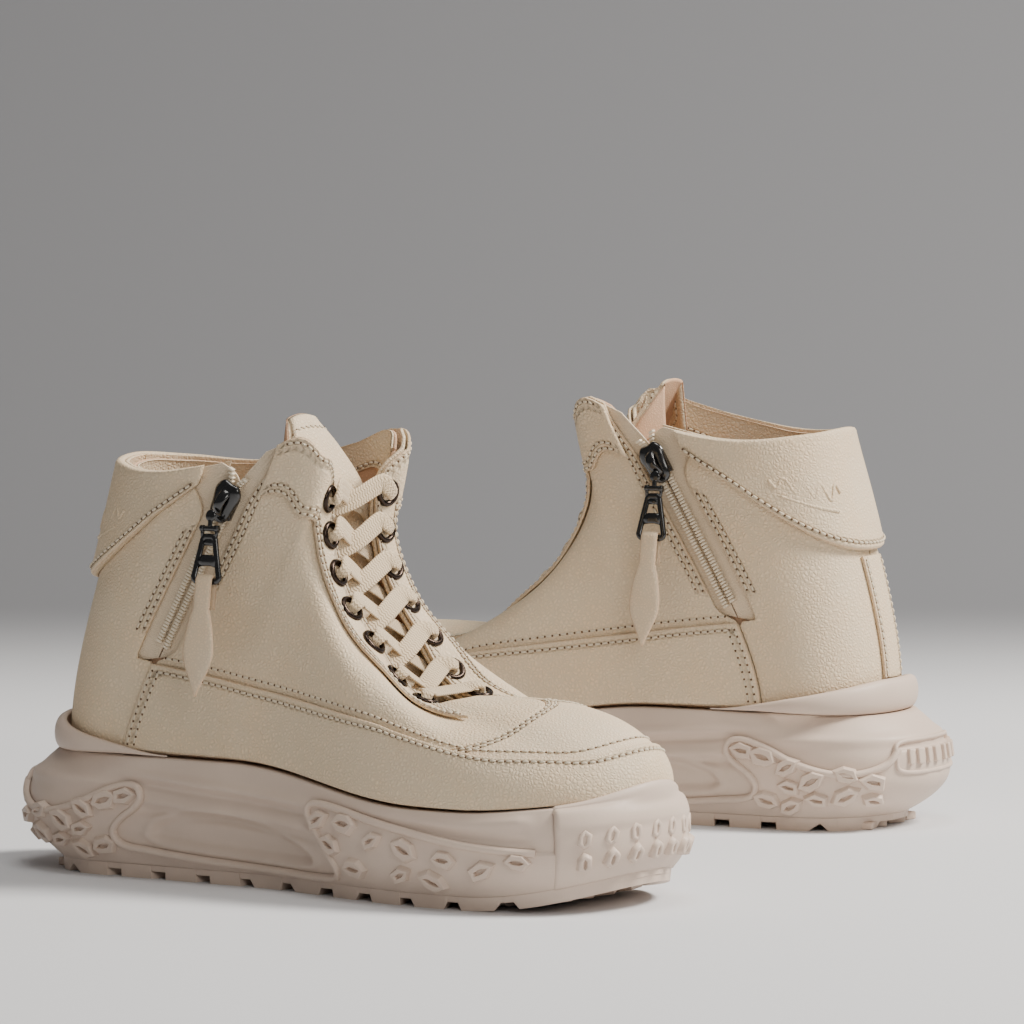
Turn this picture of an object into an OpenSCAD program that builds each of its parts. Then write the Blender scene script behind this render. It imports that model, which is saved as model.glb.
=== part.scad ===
/* [Sole] */
// Length of the sole from heel to toe
sole_length = 276; // [254:1:300]
// Width across the ball of the sole
ball_width = 106; // [94:1:120]
// Width across the waist of the sole
waist_width = 84; // [72:1:94]
// Width across the heel of the sole
heel_width = 84; // [74:1:96]
// Height of the sole's upper edge at the heel
heel_height = 45; // [36:1:56]
// Height of the sole's upper edge at the ball
ball_height = 35; // [28:1:42]
// Rise of the tread at the toe
toe_spring = 13; // [6:1:18]
// Depth of the tread lugs
lug_depth = 4.5; // [3:0.5:6]
// Thickness of the tread plate above the lugs
tread_t = 4; // [3:0.5:6]
// Thickness of the moulded rubber wall panels
wall_t = 2; // [1.5:0.1:3]
// Diameter of a moulded stud
stud_d = 6.6; // [5:0.2:8]
// How far a stud stands out
stud_h = 1.2; // [0.8:0.1:2]

/* [Upper] */
// Height of the highest corner of the facing
shaft_height = 165; // [142:1:190]
// Height of the folded collar at the back
collar_height = 153; // [132:1:180]
// Depth of the folded collar at the back
cuff_depth = 47; // [38:1:56]
// Width of the upper across the ball, at the sole
last_ball_width = 91; // [80:1:92]
// Width of the upper across the heel, at the sole
last_heel_width = 67; // [60:1:70]
// Thickness of a leather panel
panel_t = 1.4; // [1:0.1:1.8]
// Thickness of the lining
lining_t = 1.2; // [0.8:0.1:1.5]
// Thickness of the stiffeners between lining and leather
stiffener_t = 0.6; // [0.4:0.1:0.8]
// Thickness of the folded, padded collar
cuff_t = 3.6; // [2.4:0.2:5]
// Thickness of the tongue
tongue_t = 2.6; // [2:0.1:3.4]
// Clearance between two layers
layer_gap = 0.2; // [0.15:0.05:0.25]
// Thickness of the insole board
board_t = 2; // [1.5:0.1:3]
// Thickness of the footbed
footbed_t = 4; // [3:0.5:6]

/* [Lacing] */
// Pairs of eyelets
eyelet_pairs = 7; // [5:1:8]
// Diameter of an eyelet's flange
eyelet_d = 10.6; // [9:0.2:12]
// Diameter of the hole through an eyelet
eyelet_hole = 5.8; // [5.2:0.1:6.4]
// Distance from the facing's edge to the eyelet centres
eyelet_edge = 8; // [7:0.5:10]
// Width of the flat lace
lace_w = 7.4; // [5:0.2:8.4]
// Thickness of the flat lace
lace_t = 1.3; // [1:0.1:1.6]

/* [Zip] */
// Width of the zip opening between the leather edges
zip_window = 14; // [13:0.2:17]
// Width of the zip tape
tape_w = 24; // [20:1:30]
// Pitch of the zip teeth
tooth_pitch = 2.6; // [2.2:0.1:3.2]
// Gap between the two rows of teeth
tooth_gap = 1.6; // [1.4:0.1:2]
// Length of the zip slider
slider_l = 13; // [11:0.5:15]
// Width of the zip slider
slider_w = 9.4; // [8.6:0.2:10.4]
// Length of the pull link
link_l = 20; // [16:1:24]
// Length of the leather tab
tab_l = 42; // [34:1:46]
// Width of the leather tab
tab_w = 12; // [10:0.5:14]

/* [Pair] */
// Distance along the left boot to the right boot's heel
pair_x = 250; // [200:1:310]
// Distance across to the right boot's heel
pair_y = 268; // [240:1:300]
// Angle between the two boots
pair_turn = 8; // [0:1:20]
// Middle of the pair along the left boot
middle_x = 126.0; // [100:0.1:160]
// Middle of the pair across the left boot
middle_y = 123.9; // [120:0.1:180]

/* [Hidden] */
PARTS = [
    "outsole", "midsole", "heel_wall", "forefoot_wall", "toe_bumper", "heel_clip",
    "insole_board", "footbed", "lining", "toe_puff", "heel_counter", "vamp", "rand",
    "quarter_medial", "quarter_rear", "quarter_lateral", "eyestay_medial",
    "eyestay_lateral", "tongue", "back_strip", "cuff", "eyelets", "lace", "aglets",
    "zip_tape", "zip_teeth", "zip_slider", "zip_swivel", "zip_pull", "zip_tab"
];

// Colours
leather_c = "#d8cab0";
edge_c = "#cdbb9c";
lining_c = "#c08f74";
sole_c = "#cdbcae";
metal_c = "#2b2622";
black_c = "#111111";
lace_c = "#e2d6bd";
tape_c = "#e6dcc6";

// Positions along the boot, heel to toe
heel_in = 11;
toe_in = 5;
L = sole_length + heel_in + toe_in;
heel_x = 0.205 * L;
waist_x = 0.43 * L;
ball_x = 0.725 * L;
heel_set = 33;
toe_set = 11;
heel_share = 0.14;
side_share = 0.66;

// Offsets of the layers of the upper, from the inner face of the leather panels
stiff_out = -2.5 * layer_gap;
lining_out = stiff_out - stiffener_t - 2.5 * layer_gap;
over_in = panel_t + 1.75 * layer_gap;
over_t = 1.2;
over_out = over_in + over_t;
stay_in = over_in + 2.5 * layer_gap;
stay_out = stay_in + over_t;

// Sole wall
shoulder = 3;
heel_shoulder = 9;
heel_bevel = 11;
wall_foot = 0.5;

// Zip line and joints between the panels
zip_s = 0.178;
zip_low = 0.315;
zip_high = 0.975;
seam_gap = 0.3;
slider_drop = 10;
edge_step = 0.002;

function mix(a, b, u) = a + (b - a) * u;
function clamp(u) = min(1, max(0, u));
function smooth(a, b, x) = let(u = clamp((x - a) / (b - a))) u * u * (3 - 2 * u);
function unit(v) = v / norm(v);
function share(w) = 1 - abs(wrap(w));
function wrap(w) = w > 1 ? w - 2 : w < -1 ? w + 2 : w;
function side_of(w) = wrap(w) < 0 ? -1 : 1;

// Share s of the outline for share a of a grid: closer columns where the ends curve
heel_cols = 0.26;
side_cols = 0.56;
function stretch(a) =
    a < heel_cols ? heel_share * a / heel_cols
  : a < side_cols ? mix(heel_share, side_share, (a - heel_cols) / (side_cols - heel_cols))
  : mix(side_share, 1, (a - side_cols) / (1 - side_cols));
// Grid column a of 0 to 1 that goes from share s0 to s1, closer where the ends curve
function squeeze(s) =
    s < heel_share ? heel_cols * s / heel_share
  : s < side_share ? mix(heel_cols, side_cols, (s - heel_share) / (side_share - heel_share))
  : mix(side_cols, 1, (s - side_share) / (1 - side_share));
function share_at(s0, s1, a) = stretch(mix(squeeze(s0), squeeze(s1), a));
// The same round the boot: a of 0 to 1 goes from heel by the medial side and the toe to heel
function round_at(a) = a < 0.5 ? -1 + stretch(2 * a) : 1 - stretch(2 - 2 * a);

// Half width of a boot outline at x, from its heel, waist and ball half widths
function half_width(x, h) =
    x < waist_x ? mix(h[0], h[1], smooth(heel_x, waist_x, x))
                : mix(h[1], h[2], smooth(waist_x, ball_x - 6, x));

// Outline point at share s of the way from heel to toe: ends are superellipses
function plan(s, side, h, ends, power) =
    let(
        q = 2 / power,
        heel_a = 90 * clamp(s / heel_share),
        toe_a = 90 * clamp((s - side_share) / (1 - side_share)),
        mid = (s - heel_share) / (side_share - heel_share),
        x = s < heel_share ? heel_x - (heel_x - ends[0]) * pow(cos(heel_a), q)
          : s < side_share ? mix(heel_x, ball_x, mid)
          : ball_x + (ends[1] - ball_x) * pow(sin(toe_a), q),
        y = s < heel_share ? h[0] * pow(sin(heel_a), q)
          : s < side_share ? half_width(x, h)
          : h[2] * pow(cos(toe_a), q)
    )
    [x, side * y - 5 * smooth(waist_x, L, x) + 1.5 * smooth(0, ball_x, x)];

// Height of the sole's upper edge, and rise of the tread, at x
function rim_z(x) = heel_height - (heel_height - ball_height) * smooth(0.4 * L, 0.72 * L, x)
    + 5 * smooth(0.78 * L, L, x);
function spring_z(x) = toe_spring * pow(max(0, x - 0.79 * L) / (0.21 * L), 2);

// Outer face of the sole wall: w runs round the boot, v from tread to upper edge
function wall_inset(s, v) =
    (5 + heel_bevel * (1 - smooth(0.03, 0.14, s))) * pow(1 - clamp(v / 0.42), 2)
    + (shoulder + heel_shoulder * (1 - smooth(0.02, 0.2, s))) * pow(clamp((v - 0.55) / 0.45), 2);
function sole_point(w, v, inset) =
    let(
        s = share(w),
        e = wall_inset(s, v) + inset,
        half = [heel_width / 2 - e, waist_width / 2 - e, ball_width / 2 - e],
        p = plan(s, side_of(w), half, [heel_in + e, L - toe_in - e], 2.3)
    )
    [p[0], p[1], mix(spring_z(p[0]) + lug_depth + wall_foot, rim_z(p[0]), v)];
function wall(w, v) = sole_point(w, v, 0);

// Upper: stations of its top edge (x, y, z) and of the two handles that shape
// each rib between the sole and that edge
function up(z) = z * shaft_height / 165;
function col(z) = z * collar_height / 153;
function wide(y) = y * last_heel_width / 67;
function long(x) = x * L / 292;
RIBS = [
    [0, long(55.5), 0, col(153), -3, 0, 28, -9, 0, -36],
    [0.07, long(63), wide(20), col(151.5), -3, 0, 28, -8, -1, -35],
    [0.14, long(89.5), wide(33), col(150.5), 0, -2, 30, -9, -3, -34],
    [zip_s, long(125.5), wide(33), col(157.5), 3, -4, 32, -14, -3, -35],
    [0.22, long(147), wide(30), up(165), 4, -4, 35, -14, 0, -40],
    [0.28, long(152.5), wide(26), up(159), 4, -4, 38, -9, 4, -42],
    [0.34, long(152), wide(22), up(156), 4, -2, 36, -4, 9, -33],
    [0.38, long(149), wide(17), up(151), 3, -1, 34, 0, 15, -26],
    [0.46, long(146.5), wide(14), up(138), 1, 0, 31, 3, 17, -20],
    [0.54, long(148.5), wide(13), up(122), 0, 0, 28, 4, 19, -14],
    [0.62, long(154.5), wide(13), up(106), 0, 0, 25, 5, 21, -11],
    [0.70, long(166.5), wide(13), up(90), 0, 1, 22, 7, 22, -9],
    [0.78, long(178), wide(13), up(75), 2, 2, 20, 11, 22, -7],
    [0.86, long(190), wide(12), up(67.5), 3, 2, 21, 20, 20, -3],
    [0.93, long(200), wide(8), up(69), 4, 1, 24, 34, 13, 1],
    [1.00, long(204), 0, up(70), 4, 0, 25.5, 50, 0, 3]
];
odd = [-1, 1, -1, 1, 1, -1, 1, 1, -1, 1];
last_rib = len(RIBS) - 1;
function rib(i) =
    i < 0 ? [for (k = [0:9]) RIBS[-i][k] * odd[k]]
  : i > last_rib ? [for (k = [0:9]) (k == 0 ? 2 : 0) + RIBS[2 * last_rib - i][k] * odd[k]]
  : RIBS[i];
function rib_slope(i) = (rib(i + 1) - rib(i - 1)) / (rib(i + 1)[0] - rib(i - 1)[0]);
function rib_at(s) =
    let(
        i = max([for (k = [0:last_rib - 1]) s >= RIBS[k][0] ? k : 0]),
        a = rib(i),
        b = rib(i + 1),
        d = b[0] - a[0],
        u = (s - a[0]) / d
    )
    a * (1 + 2 * u) * (1 - u) * (1 - u) + rib_slope(i) * d * u * (1 - u) * (1 - u)
    + b * u * u * (3 - 2 * u) + rib_slope(i + 1) * d * u * u * (u - 1);
last_half = [last_heel_width / 2, last_heel_width / 2 + 1, last_ball_width / 2];

// Point of the upper: w runs round the boot (medial is negative, toe is 0), t goes
// from the sole to the top edge
function upper(w, t) =
    let(
        s = share(w),
        g = side_of(w),
        r = rib_at(s),
        f = plan(s, g, last_half, [heel_set, L - toe_set], 2.1),
        p0 = [f[0], f[1], rim_z(f[0]) + layer_gap],
        p3 = [r[1], g * r[2] + 1.5 * smooth(0, ball_x, r[1]) - 5 * smooth(waist_x, L, r[1]), r[3]],
        p1 = p0 + [r[4], g * r[5], r[6]],
        p2 = p3 + [r[7], g * r[8], r[9]],
        m = 1 - t
    )
    p0 * m * m * m + 3 * p1 * m * m * t + 3 * p2 * m * t * t + p3 * t * t * t;
function normal(f, w, t) =
    unit(cross(f(w + edge_step, t) - f(w - edge_step, t), f(w, t + edge_step) - f(w, t - edge_step)));
function skin(w, t, o) = upper(w, t) + o * normal(function(a, b) upper(a, b), w, t);
function clad(w, v, o) = wall(w, v) + o * normal(function(a, b) wall(a, b), w, v);
function rib_length(w) = norm(upper(w, 1) - upper(w, 0.5)) + norm(upper(w, 0.5) - upper(w, 0));
// Distance across the ribs that one unit of w covers
function w_speed(w, t) =
    norm(cross(upper(w + 0.004, t) - upper(w - 0.004, t), unit(upper(w, t + 0.004) - upper(w, t - 0.004))))
    / 0.008;
function t_at(w, z, lo = 0, hi = 0.7, n = 9) =
    n == 0 ? (lo + hi) / 2
  : let(m = (lo + hi) / 2) upper(w, m)[2] < z ? t_at(w, z, m, hi, n - 1) : t_at(w, z, lo, m, n - 1);

// Closed sheet between two grids of points, outer and inner
module sheet(nu, nv, outer, inner, loop = false) {
    cols = loop ? nu : nu + 1;
    rows = nv + 1;
    total = cols * rows;
    pts = concat(
        [for (i = [0:cols - 1]) for (j = [0:nv]) outer(i / nu, j / nv)],
        [for (i = [0:cols - 1]) for (j = [0:nv]) inner(i / nu, j / nv)]
    );
    at = function(k, i, j) k * total + (i % cols) * rows + j;
    skins = [for (i = [0:nu - 1]) for (j = [0:nv - 1]) each [
        [at(0, i, j), at(0, i, j + 1), at(0, i + 1, j + 1)],
        [at(0, i, j), at(0, i + 1, j + 1), at(0, i + 1, j)],
        [at(1, i, j), at(1, i + 1, j + 1), at(1, i, j + 1)],
        [at(1, i, j), at(1, i + 1, j), at(1, i + 1, j + 1)]
    ]];
    rims = [for (i = [0:nu - 1]) each [
        [at(0, i, 0), at(0, i + 1, 0), at(1, i + 1, 0)],
        [at(0, i, 0), at(1, i + 1, 0), at(1, i, 0)],
        [at(0, i, nv), at(1, i + 1, nv), at(0, i + 1, nv)],
        [at(0, i, nv), at(1, i, nv), at(1, i + 1, nv)]
    ]];
    ends = loop ? [] : [for (j = [0:nv - 1]) each [
        [at(0, 0, j), at(1, 0, j + 1), at(0, 0, j + 1)],
        [at(0, 0, j), at(1, 0, j), at(1, 0, j + 1)],
        [at(0, nu, j), at(0, nu, j + 1), at(1, nu, j + 1)],
        [at(0, nu, j), at(1, nu, j + 1), at(1, nu, j)]
    ]];
    polyhedron(pts, concat(skins, rims, ends), convexity = 8);
}

// Panel of the upper over place(a, b) = [w, t], between two offsets
module panel(nu, nv, place, o_in, o_out, loop = false) {
    sheet(nu, nv,
        function(a, b) let(p = place(a, b)) skin(p[0], p[1], o_out),
        function(a, b) let(p = place(a, b)) skin(p[0], p[1], o_in),
        loop);
}

// Solid between cross-sections: ring(k) gives one closed ring at station k of n
module loft(n, rings) {
    m = len(rings[0]);
    sides = [for (k = [0:n - 1]) for (i = [0:m - 1]) let(j = (i + 1) % m) each [
        [k * m + i, k * m + j, (k + 1) * m + j],
        [k * m + i, (k + 1) * m + j, (k + 1) * m + i]
    ]];
    half = m / 2;
    caps = [for (i = [0:half - 2]) each [
        [i, m - 1 - i, m - 2 - i],
        [i, m - 2 - i, i + 1],
        [n * m + i, n * m + i + 1, n * m + m - 2 - i],
        [n * m + i, n * m + m - 2 - i, n * m + m - 1 - i]
    ]];
    polyhedron([for (r = rings) each r], concat(sides, caps), convexity = 6);
}

// Plate across the boot between two heights that follow x
module plate(n, half, ends, low, high) {
    loft(n, [for (k = [0:n]) let(
            s = stretch(mix(0.012, 0.988, k / n)),
            a = plan(s, -1, half, ends, 2.2),
            b = plan(s, 1, half, ends, 2.2)
        ) [
            [a[0], a[1], low(a[0])], [a[0], a[1], high(a[0])],
            [b[0], b[1], high(b[0])], [b[0], b[1], low(b[0])]
        ]]);
}

// Frame with +Z along n and +X as near as can be to x
module frame(p, n, x) {
    z = unit(n);
    y = unit(cross(z, x));
    u = cross(y, z);
    multmatrix([
        [u[0], y[0], z[0], p[0]],
        [u[1], y[1], z[1], p[1]],
        [u[2], y[2], z[2], p[2]],
        [0, 0, 0, 1]
    ]) children();
}

// ---- Sole ----
// Tread plate with its lugs: pairs of [start, end] along the boot for the edge lugs
edge_lugs = [
    [0.128, 0.165], [0.195, 0.232], [0.272, 0.314],
    [0.565, 0.616], [0.647, 0.695], [0.729, 0.784], [0.815, 0.865], [0.893, 0.93]
];
lug_reach = 17;
module outsole() {
    color(sole_c) union() {
        plate(36, [heel_width / 2 - 7.5, waist_width / 2 - 7.5, ball_width / 2 - 7.5],
            [heel_in + 19, L - toe_in - 8],
            function(x) spring_z(x) + lug_depth,
            function(x) spring_z(x) + lug_depth + tread_t);
        for (r = edge_lugs) for (g = [-1, 1]) edge_lug(r[0] * L, r[1] * L, g);
        for (x = [0.2, 0.255, 0.6, 0.67, 0.745, 0.82]) chevron(x * L);
        end_lug(heel_in + 15, heel_in + 25);
        end_lug(L - toe_in - 24, L - toe_in - 8);
    }
}
function tread_edge(x, g) =
    let(h = [heel_width / 2 - 5, waist_width / 2 - 5, ball_width / 2 - 5],
        p = x < heel_x ? [x, h[0] * sqrt(max(0, 1 - pow((heel_x - x) / (heel_x - heel_in - 14), 2)))]
          : x < ball_x ? [x, half_width(x, h)]
          : [x, h[2] * sqrt(max(0, 1 - pow((x - ball_x) / (L - toe_in - 5 - ball_x), 2)))])
    g * p[1] - 5 * smooth(waist_x, L, x) + 1.5 * smooth(0, ball_x, x);
module edge_lug(x0, x1, g) {
    ya = tread_edge(x0, g);
    yb = tread_edge(x1, g);
    translate([0, 0, spring_z((x0 + x1) / 2)]) linear_extrude(lug_depth + 0.3) polygon([
        [x0, ya], [x1, yb], [x1 - 3, yb - g * lug_reach], [x0 + 3, ya - g * lug_reach]
    ]);
}
module chevron(x) {
    reach = abs(tread_edge(x, 1)) - lug_reach - 4;
    translate([x, 0, spring_z(x)]) linear_extrude(lug_depth + 0.3) polygon([
        [0, -reach], [8, -reach], [14, 0], [8, reach], [0, reach], [6, 0]
    ]);
}
module end_lug(x0, x1) {
    y = 12;
    translate([0, 0, spring_z((x0 + x1) / 2)]) linear_extrude(lug_depth + 0.3)
        polygon([[x0, -y], [x1, -y - 4], [x1, y + 4], [x0, y]]);
}

midsole_gap = 0.35;
midsole_inset = wall_t + midsole_gap + 0.25;
wall_rows = [0, 0.2, 0.4, 0.58, 0.78, 0.92, 1];
module midsole() {
    color(sole_c) difference() {
        loft(36, [for (k = [0:36]) let(s = stretch(mix(0.008, 0.992, k / 36))) concat(
            [for (v = wall_rows) midsole_edge(-1 + s, v)],
            [for (i = [len(wall_rows) - 1:-1:0]) midsole_edge(1 - s, wall_rows[i])]
        )]);
        for (g = [-1, 1]) crescent(g);
    }
}
function midsole_edge(w, v) =
    let(
        x = wall(w, 0.2)[0],
        low = (tread_t + midsole_gap - wall_foot) / (rim_z(x) - spring_z(x) - lug_depth - wall_foot),
        p = clad(w, mix(low, 1, v), -midsole_inset - 0.6 * (1 - smooth(0.1, 0.2, share(w))))
    )
    v < 1 ? p : [p[0], p[1], rim_z(p[0])];
// Crescent recess low on each side of the waist
crescent_x = 0.43 * L;
crescent_l = 0.255 * L;
crescent_h = 11;
module crescent(g) {
    y = half_width(crescent_x, [heel_width, waist_width, ball_width] / 2) - midsole_inset;
    translate([crescent_x, g * y, 15]) rotate([90, 0, g * 5]) linear_extrude(5, center = true)
        polygon(concat(
            [for (a = [0:15:180]) [crescent_l / 2 * cos(a), crescent_h / 2 * sin(a)]],
            [for (a = [165:-15:15]) [crescent_l / 2 * cos(a), -crescent_h / 3 * sin(a)]]
        ));
}

// Moulded stud: hollow polygon standing on the wall
stud_root = 0.9;
module stud(w, v, turn, sides) {
    n = normal(function(a, b) wall(a, b), w, v);
    frame(wall(w, v) - stud_root * n, n, [1, 0, 0]) rotate(turn) linear_extrude(stud_h + stud_root)
        difference() {
            circle(d = stud_d, $fn = sides);
            circle(d = stud_d * 0.45, $fn = sides);
        }
}
// Each stud is [share of the way round, share of the wall's height]
heel_studs = [[0.02, 0.3], [0.05, 0.62], [0.065, 0.3], [0.1, 0.5], [0.13, 0.72], [0.15, 0.34], [0.19, 0.6]];
side_studs = [
    [0.5, 0.68], [0.545, 0.7], [0.53, 0.45], [0.57, 0.22], [0.6, 0.52],
    [0.63, 0.24], [0.665, 0.55], [0.67, 0.24], [0.72, 0.5], [0.75, 0.22]
];
toe_studs = [[0.83, 0.6], [0.84, 0.28], [0.88, 0.72], [0.9, 0.36], [0.94, 0.62], [0.975, 0.3]];
module studs(list, sides) {
    for (i = [0:len(list) - 1]) for (g = [-1, 1])
        stud(g * (1 - list[i][0]), list[i][1], i * 37, i % 2 == 0 ? sides : sides - 1);
}
heel_wall_end = 0.215;
module heel_wall() {
    color(sole_c) union() {
        sheet(20, 4,
            function(a, b) heel_wall_point(a, b, 0),
            function(a, b) heel_wall_point(a, b, -wall_t));
        studs(heel_studs, 6);
    }
}
function heel_wall_point(a, b, o) =
    let(reach = mix(heel_wall_end - 0.035, heel_wall_end, b))
    clad(mix(1 - reach, 1 + reach, a), mix(0.01, 0.8, b), o);
module forefoot_wall() {
    color(sole_c) for (g = [-1, 1]) union() {
        sheet(12, 3,
            function(a, b) forefoot_wall_point(g, g < 0 ? a : 1 - a, b, 0),
            function(a, b) forefoot_wall_point(g, g < 0 ? a : 1 - a, b, -wall_t));
        for (i = [0:len(side_studs) - 1])
            stud(g * (1 - side_studs[i][0]), side_studs[i][1], i * 41, i % 2 == 0 ? 6 : 5);
    }
}
bumper_start = 0.8;
function forefoot_wall_point(g, a, b, o) =
    let(
        s = mix(mix(0.535, 0.475, b), bumper_start - 0.004, a),
        top = mix(0.84, 0.78, smooth(0.48, 0.66, s))
    )
    clad(g * (1 - s), mix(0.01, top, b), o);
module toe_bumper() {
    color(sole_c) union() {
        sheet(20, 5,
            function(a, b) bumper_point(a, b, b < 0.5 ? 0 : 1.4, over_out + 1.9),
            function(a, b) bumper_point(a, b, b < 0.5 ? -wall_t : 0, over_out + layer_gap));
        studs(toe_studs, 6);
    }
}
function bumper_point(a, b, wall_o, skin_o) =
    let(w = mix(bumper_start - 1, 1 - bumper_start, a), row = round(b * 5))
    row < 4 ? clad(w, [0.01, 0.35, 0.65, 0.93][row], wall_o)
            : skin(w, [0.05, 0.135][row - 4], skin_o);

clip_reach = 0.25;
clip_high = 0.125;
module heel_clip() {
    color(sole_c) sheet(22, 2,
        function(a, b) clip_point(a, b, 1),
        function(a, b) clip_point(a, b, 0));
}
function clip_point(a, b, out) =
    let(
        u = abs(2 * a - 1),
        w = mix(1 - clip_reach, 1 + clip_reach, a),
        top = mix(clip_high, 0.02, smooth(0.1, 1, u)),
        belly = sqrt(max(0, 1 - pow(2 * b - 1, 2)))
    )
    skin(w, mix(0.014, top, b), over_out + layer_gap + out * mix(2.2 + 1.6 * belly, 1, u * u));

// ---- Inside the boot ----
foot_half = [for (h = last_half) h + lining_out - lining_t - 1.3];
inner_ends = [heel_set + 4, L - toe_set - 4];
module insole_board() {
    color(lining_c) plate(20, foot_half, inner_ends,
        function(x) rim_z(x) + 2.5 * layer_gap,
        function(x) rim_z(x) + 2.5 * layer_gap + board_t);
}
module footbed() {
    color(lining_c) plate(20, [for (h = foot_half) h - 1.5], [inner_ends[0] + 1.5, inner_ends[1] - 1.5],
        function(x) rim_z(x) + 3.5 * layer_gap + board_t,
        function(x) rim_z(x) + 3.5 * layer_gap + board_t + footbed_t);
}
facing_margin = 23;
function throat_share(w) = smooth(0.33, 0.385, share(w)) * (1 - smooth(0.9, 0.97, share(w)));
module lining() {
    color(lining_c) panel(40, 6,
        function(a, b) let(
            w = round_at(a),
            top = 0.99 - throat_share(w) * facing_margin / rib_length(w)
        ) [w, mix(0.004, top, b)],
        lining_out - lining_t, lining_out, true);
}
module toe_puff() {
    color(edge_c) panel(10, 3,
        function(a, b) let(t = mix(hem, hem + 0.5 * (vamp_top - hem), b), reach = 1 - vamp_seam(t) - seam_s)
            [mix(-5 / 7, 5 / 7, a) * reach, t],
        stiff_out - stiffener_t, stiff_out);
}
module heel_counter() {
    color(edge_c) panel(14, 4,
        function(a, b) let(reach = mix(0.15, 0.1, b * b)) [mix(1 - reach, 1 + reach, a), mix(0.01, 0.46, b)],
        stiff_out - stiffener_t, stiff_out);
}

// ---- Leather panels ----
// Seam between the vamp and the quarters: runs from the rand up to the instep ridge
function vamp_seam(t) = mix(0.66, 1, smooth(0.12, 0.84, t));
seam_s = 0.0012;
vamp_top = 0.8;
hem = 0.01;
function panel_row(b) = b < 0.75 ? mix(hem, vamp_top, b / 0.75) : mix(vamp_top, 1, (b - 0.75) / 0.25);
module vamp() {
    color(leather_c) panel(14, 6,
        function(a, b) let(t = mix(hem, vamp_top, b), reach = 1 - vamp_seam(t) - seam_s)
            [mix(-reach, reach, a), t],
        0, panel_t);
}
// Above the slider the opening and the tape spread apart
spread = 8;
function zip_half(w, t) =
    (t > zip_low ? mix(seam_gap, zip_window, smooth(zip_low, zip_low + 0.035, t)) / 2 + spread * smooth(0.8, 1, t)
                 : seam_gap / 2) / w_speed(w, t);
function zip_w(g) = g * (1 - zip_s);
module quarter_medial() {
    color(leather_c) difference() {
        panel(18, 8,
            function(a, b) let(
                t = panel_row(b),
                start = zip_s + zip_half(zip_w(-1), t),
                end = min(vamp_seam(t), 0.9985)
            ) [-1 + share_at(start, end, a), t],
            0, panel_t);
        eyelet_holes(-1);
    }
}
module quarter_rear() {
    color(leather_c) panel(9, 8,
        function(a, b) let(t = panel_row(b)) [-1 + mix(0.0012, zip_s - zip_half(zip_w(-1), t), a), t],
        0, panel_t);
}
module quarter_lateral() {
    color(leather_c) difference() {
        panel(20, 8,
            function(a, b) let(t = panel_row(b), end = min(vamp_seam(t), 0.9985))
                [1 - share_at(end, 0.0012, a), t],
            0, panel_t);
        eyelet_holes(1);
    }
}
rand_high = 79;
rand_low = 53;
function rand_z(s) = mix(mix(rand_high, 65, clamp((s - zip_s) / 0.42)), rand_low, smooth(0.58, 0.8, s))
    + 4 * smooth(0.88, 1, s);
module rand() {
    color(leather_c) panel(34, 2,
        function(a, b) let(
            w = a < 0.5 ? -1 + share_at(zip_s, 1, 2 * a) : 1 - share_at(zip_s, 1, 2 - 2 * a),
            top = t_at(w, rand_z(share(w)))
        ) [w, mix(hem + 0.005, top, b)],
        over_in, over_out);
}
eyestay_start = 0.2;
eyestay_end = 0.885;
function eyestay_width(s) = mix(mix(34, 22, smooth(0.22, 0.4, s)), 27, smooth(0.72, 0.88, s));
module eyestay(g) {
    color(leather_c) difference() {
        panel(20, 2,
            function(a, b) let(
                s = share_at(eyestay_start, eyestay_end, g < 0 ? a : 1 - a),
                w = g * (1 - s)
            ) [w, mix(1 - eyestay_width(s) / rib_length(w), 0.998, b)],
            stay_in, stay_out);
        eyelet_holes(g);
    }
}
module eyestay_medial() {
    eyestay(-1);
}
module eyestay_lateral() {
    eyestay(1);
}
module back_strip() {
    half = 8;
    top = t_at(1, collar_height - cuff_depth - 2, 0, 0.9);
    color(leather_c) panel(4, 8,
        function(a, b) let(t = mix(clip_high + 0.01, top, b), reach = half / w_speed(1, t))
            [mix(1 - reach, 1 + reach, a), t],
        over_in, over_out);
}
cuff_front = 0.16;
cuff_lateral = 0.19;
module cuff() {
    color(leather_c) panel(20, 4,
        function(a, b) cuff_place(a, b),
        over_in, over_in + cuff_t);
}
function cuff_place(a, b) =
    let(
        w = mix(1 - cuff_lateral, 1 + cuff_front, a),
        u = w > 1 ? (w - 1) / cuff_front : (1 - w) / cuff_lateral,
        low = t_at(w, collar_height - cuff_depth, 0, 1),
        edge = mix(low, 0.93, pow(u, 2.6))
    )
    [w, mix(edge, 1, b)];

// ---- Tongue ----
tongue_drop = 6.8;
tongue_reach = 13;
function tongue_rest(a, s, o) =
    let(
        u = clamp((abs(a) - 0.36) / 0.64),
        g = a < 0 ? -1 : 1,
        w = g * (1 - s),
        edge = skin(w, 0.995, -tongue_drop + o),
        under = skin(w, 0.995 - u * tongue_reach / rib_length(w), -tongue_drop + o),
        other = skin(-w, 0.995, -tongue_drop + o)
    )
    abs(a) > 0.36 ? under : mix(edge, other, (0.36 - abs(a)) / 0.72);
tongue_top_s = 0.42;
tongue_rise = [-13, 0, 25];
function tongue_point(a, b, o) =
    b < 0.7 ? tongue_rest(a, mix(0.955, tongue_top_s, b / 0.7), o)
            : tongue_rest(a, tongue_top_s, o) + tongue_rise * (b - 0.7) / 0.3
              - [0, 0, 5 * pow(a, 4) * (b - 0.7) / 0.3];
module tongue() {
    color(lining_c) sheet(8, 12,
        function(a, b) tongue_point(2 * a - 1, b, 0),
        function(a, b) tongue_point(2 * a - 1, b, -tongue_t));
}

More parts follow.
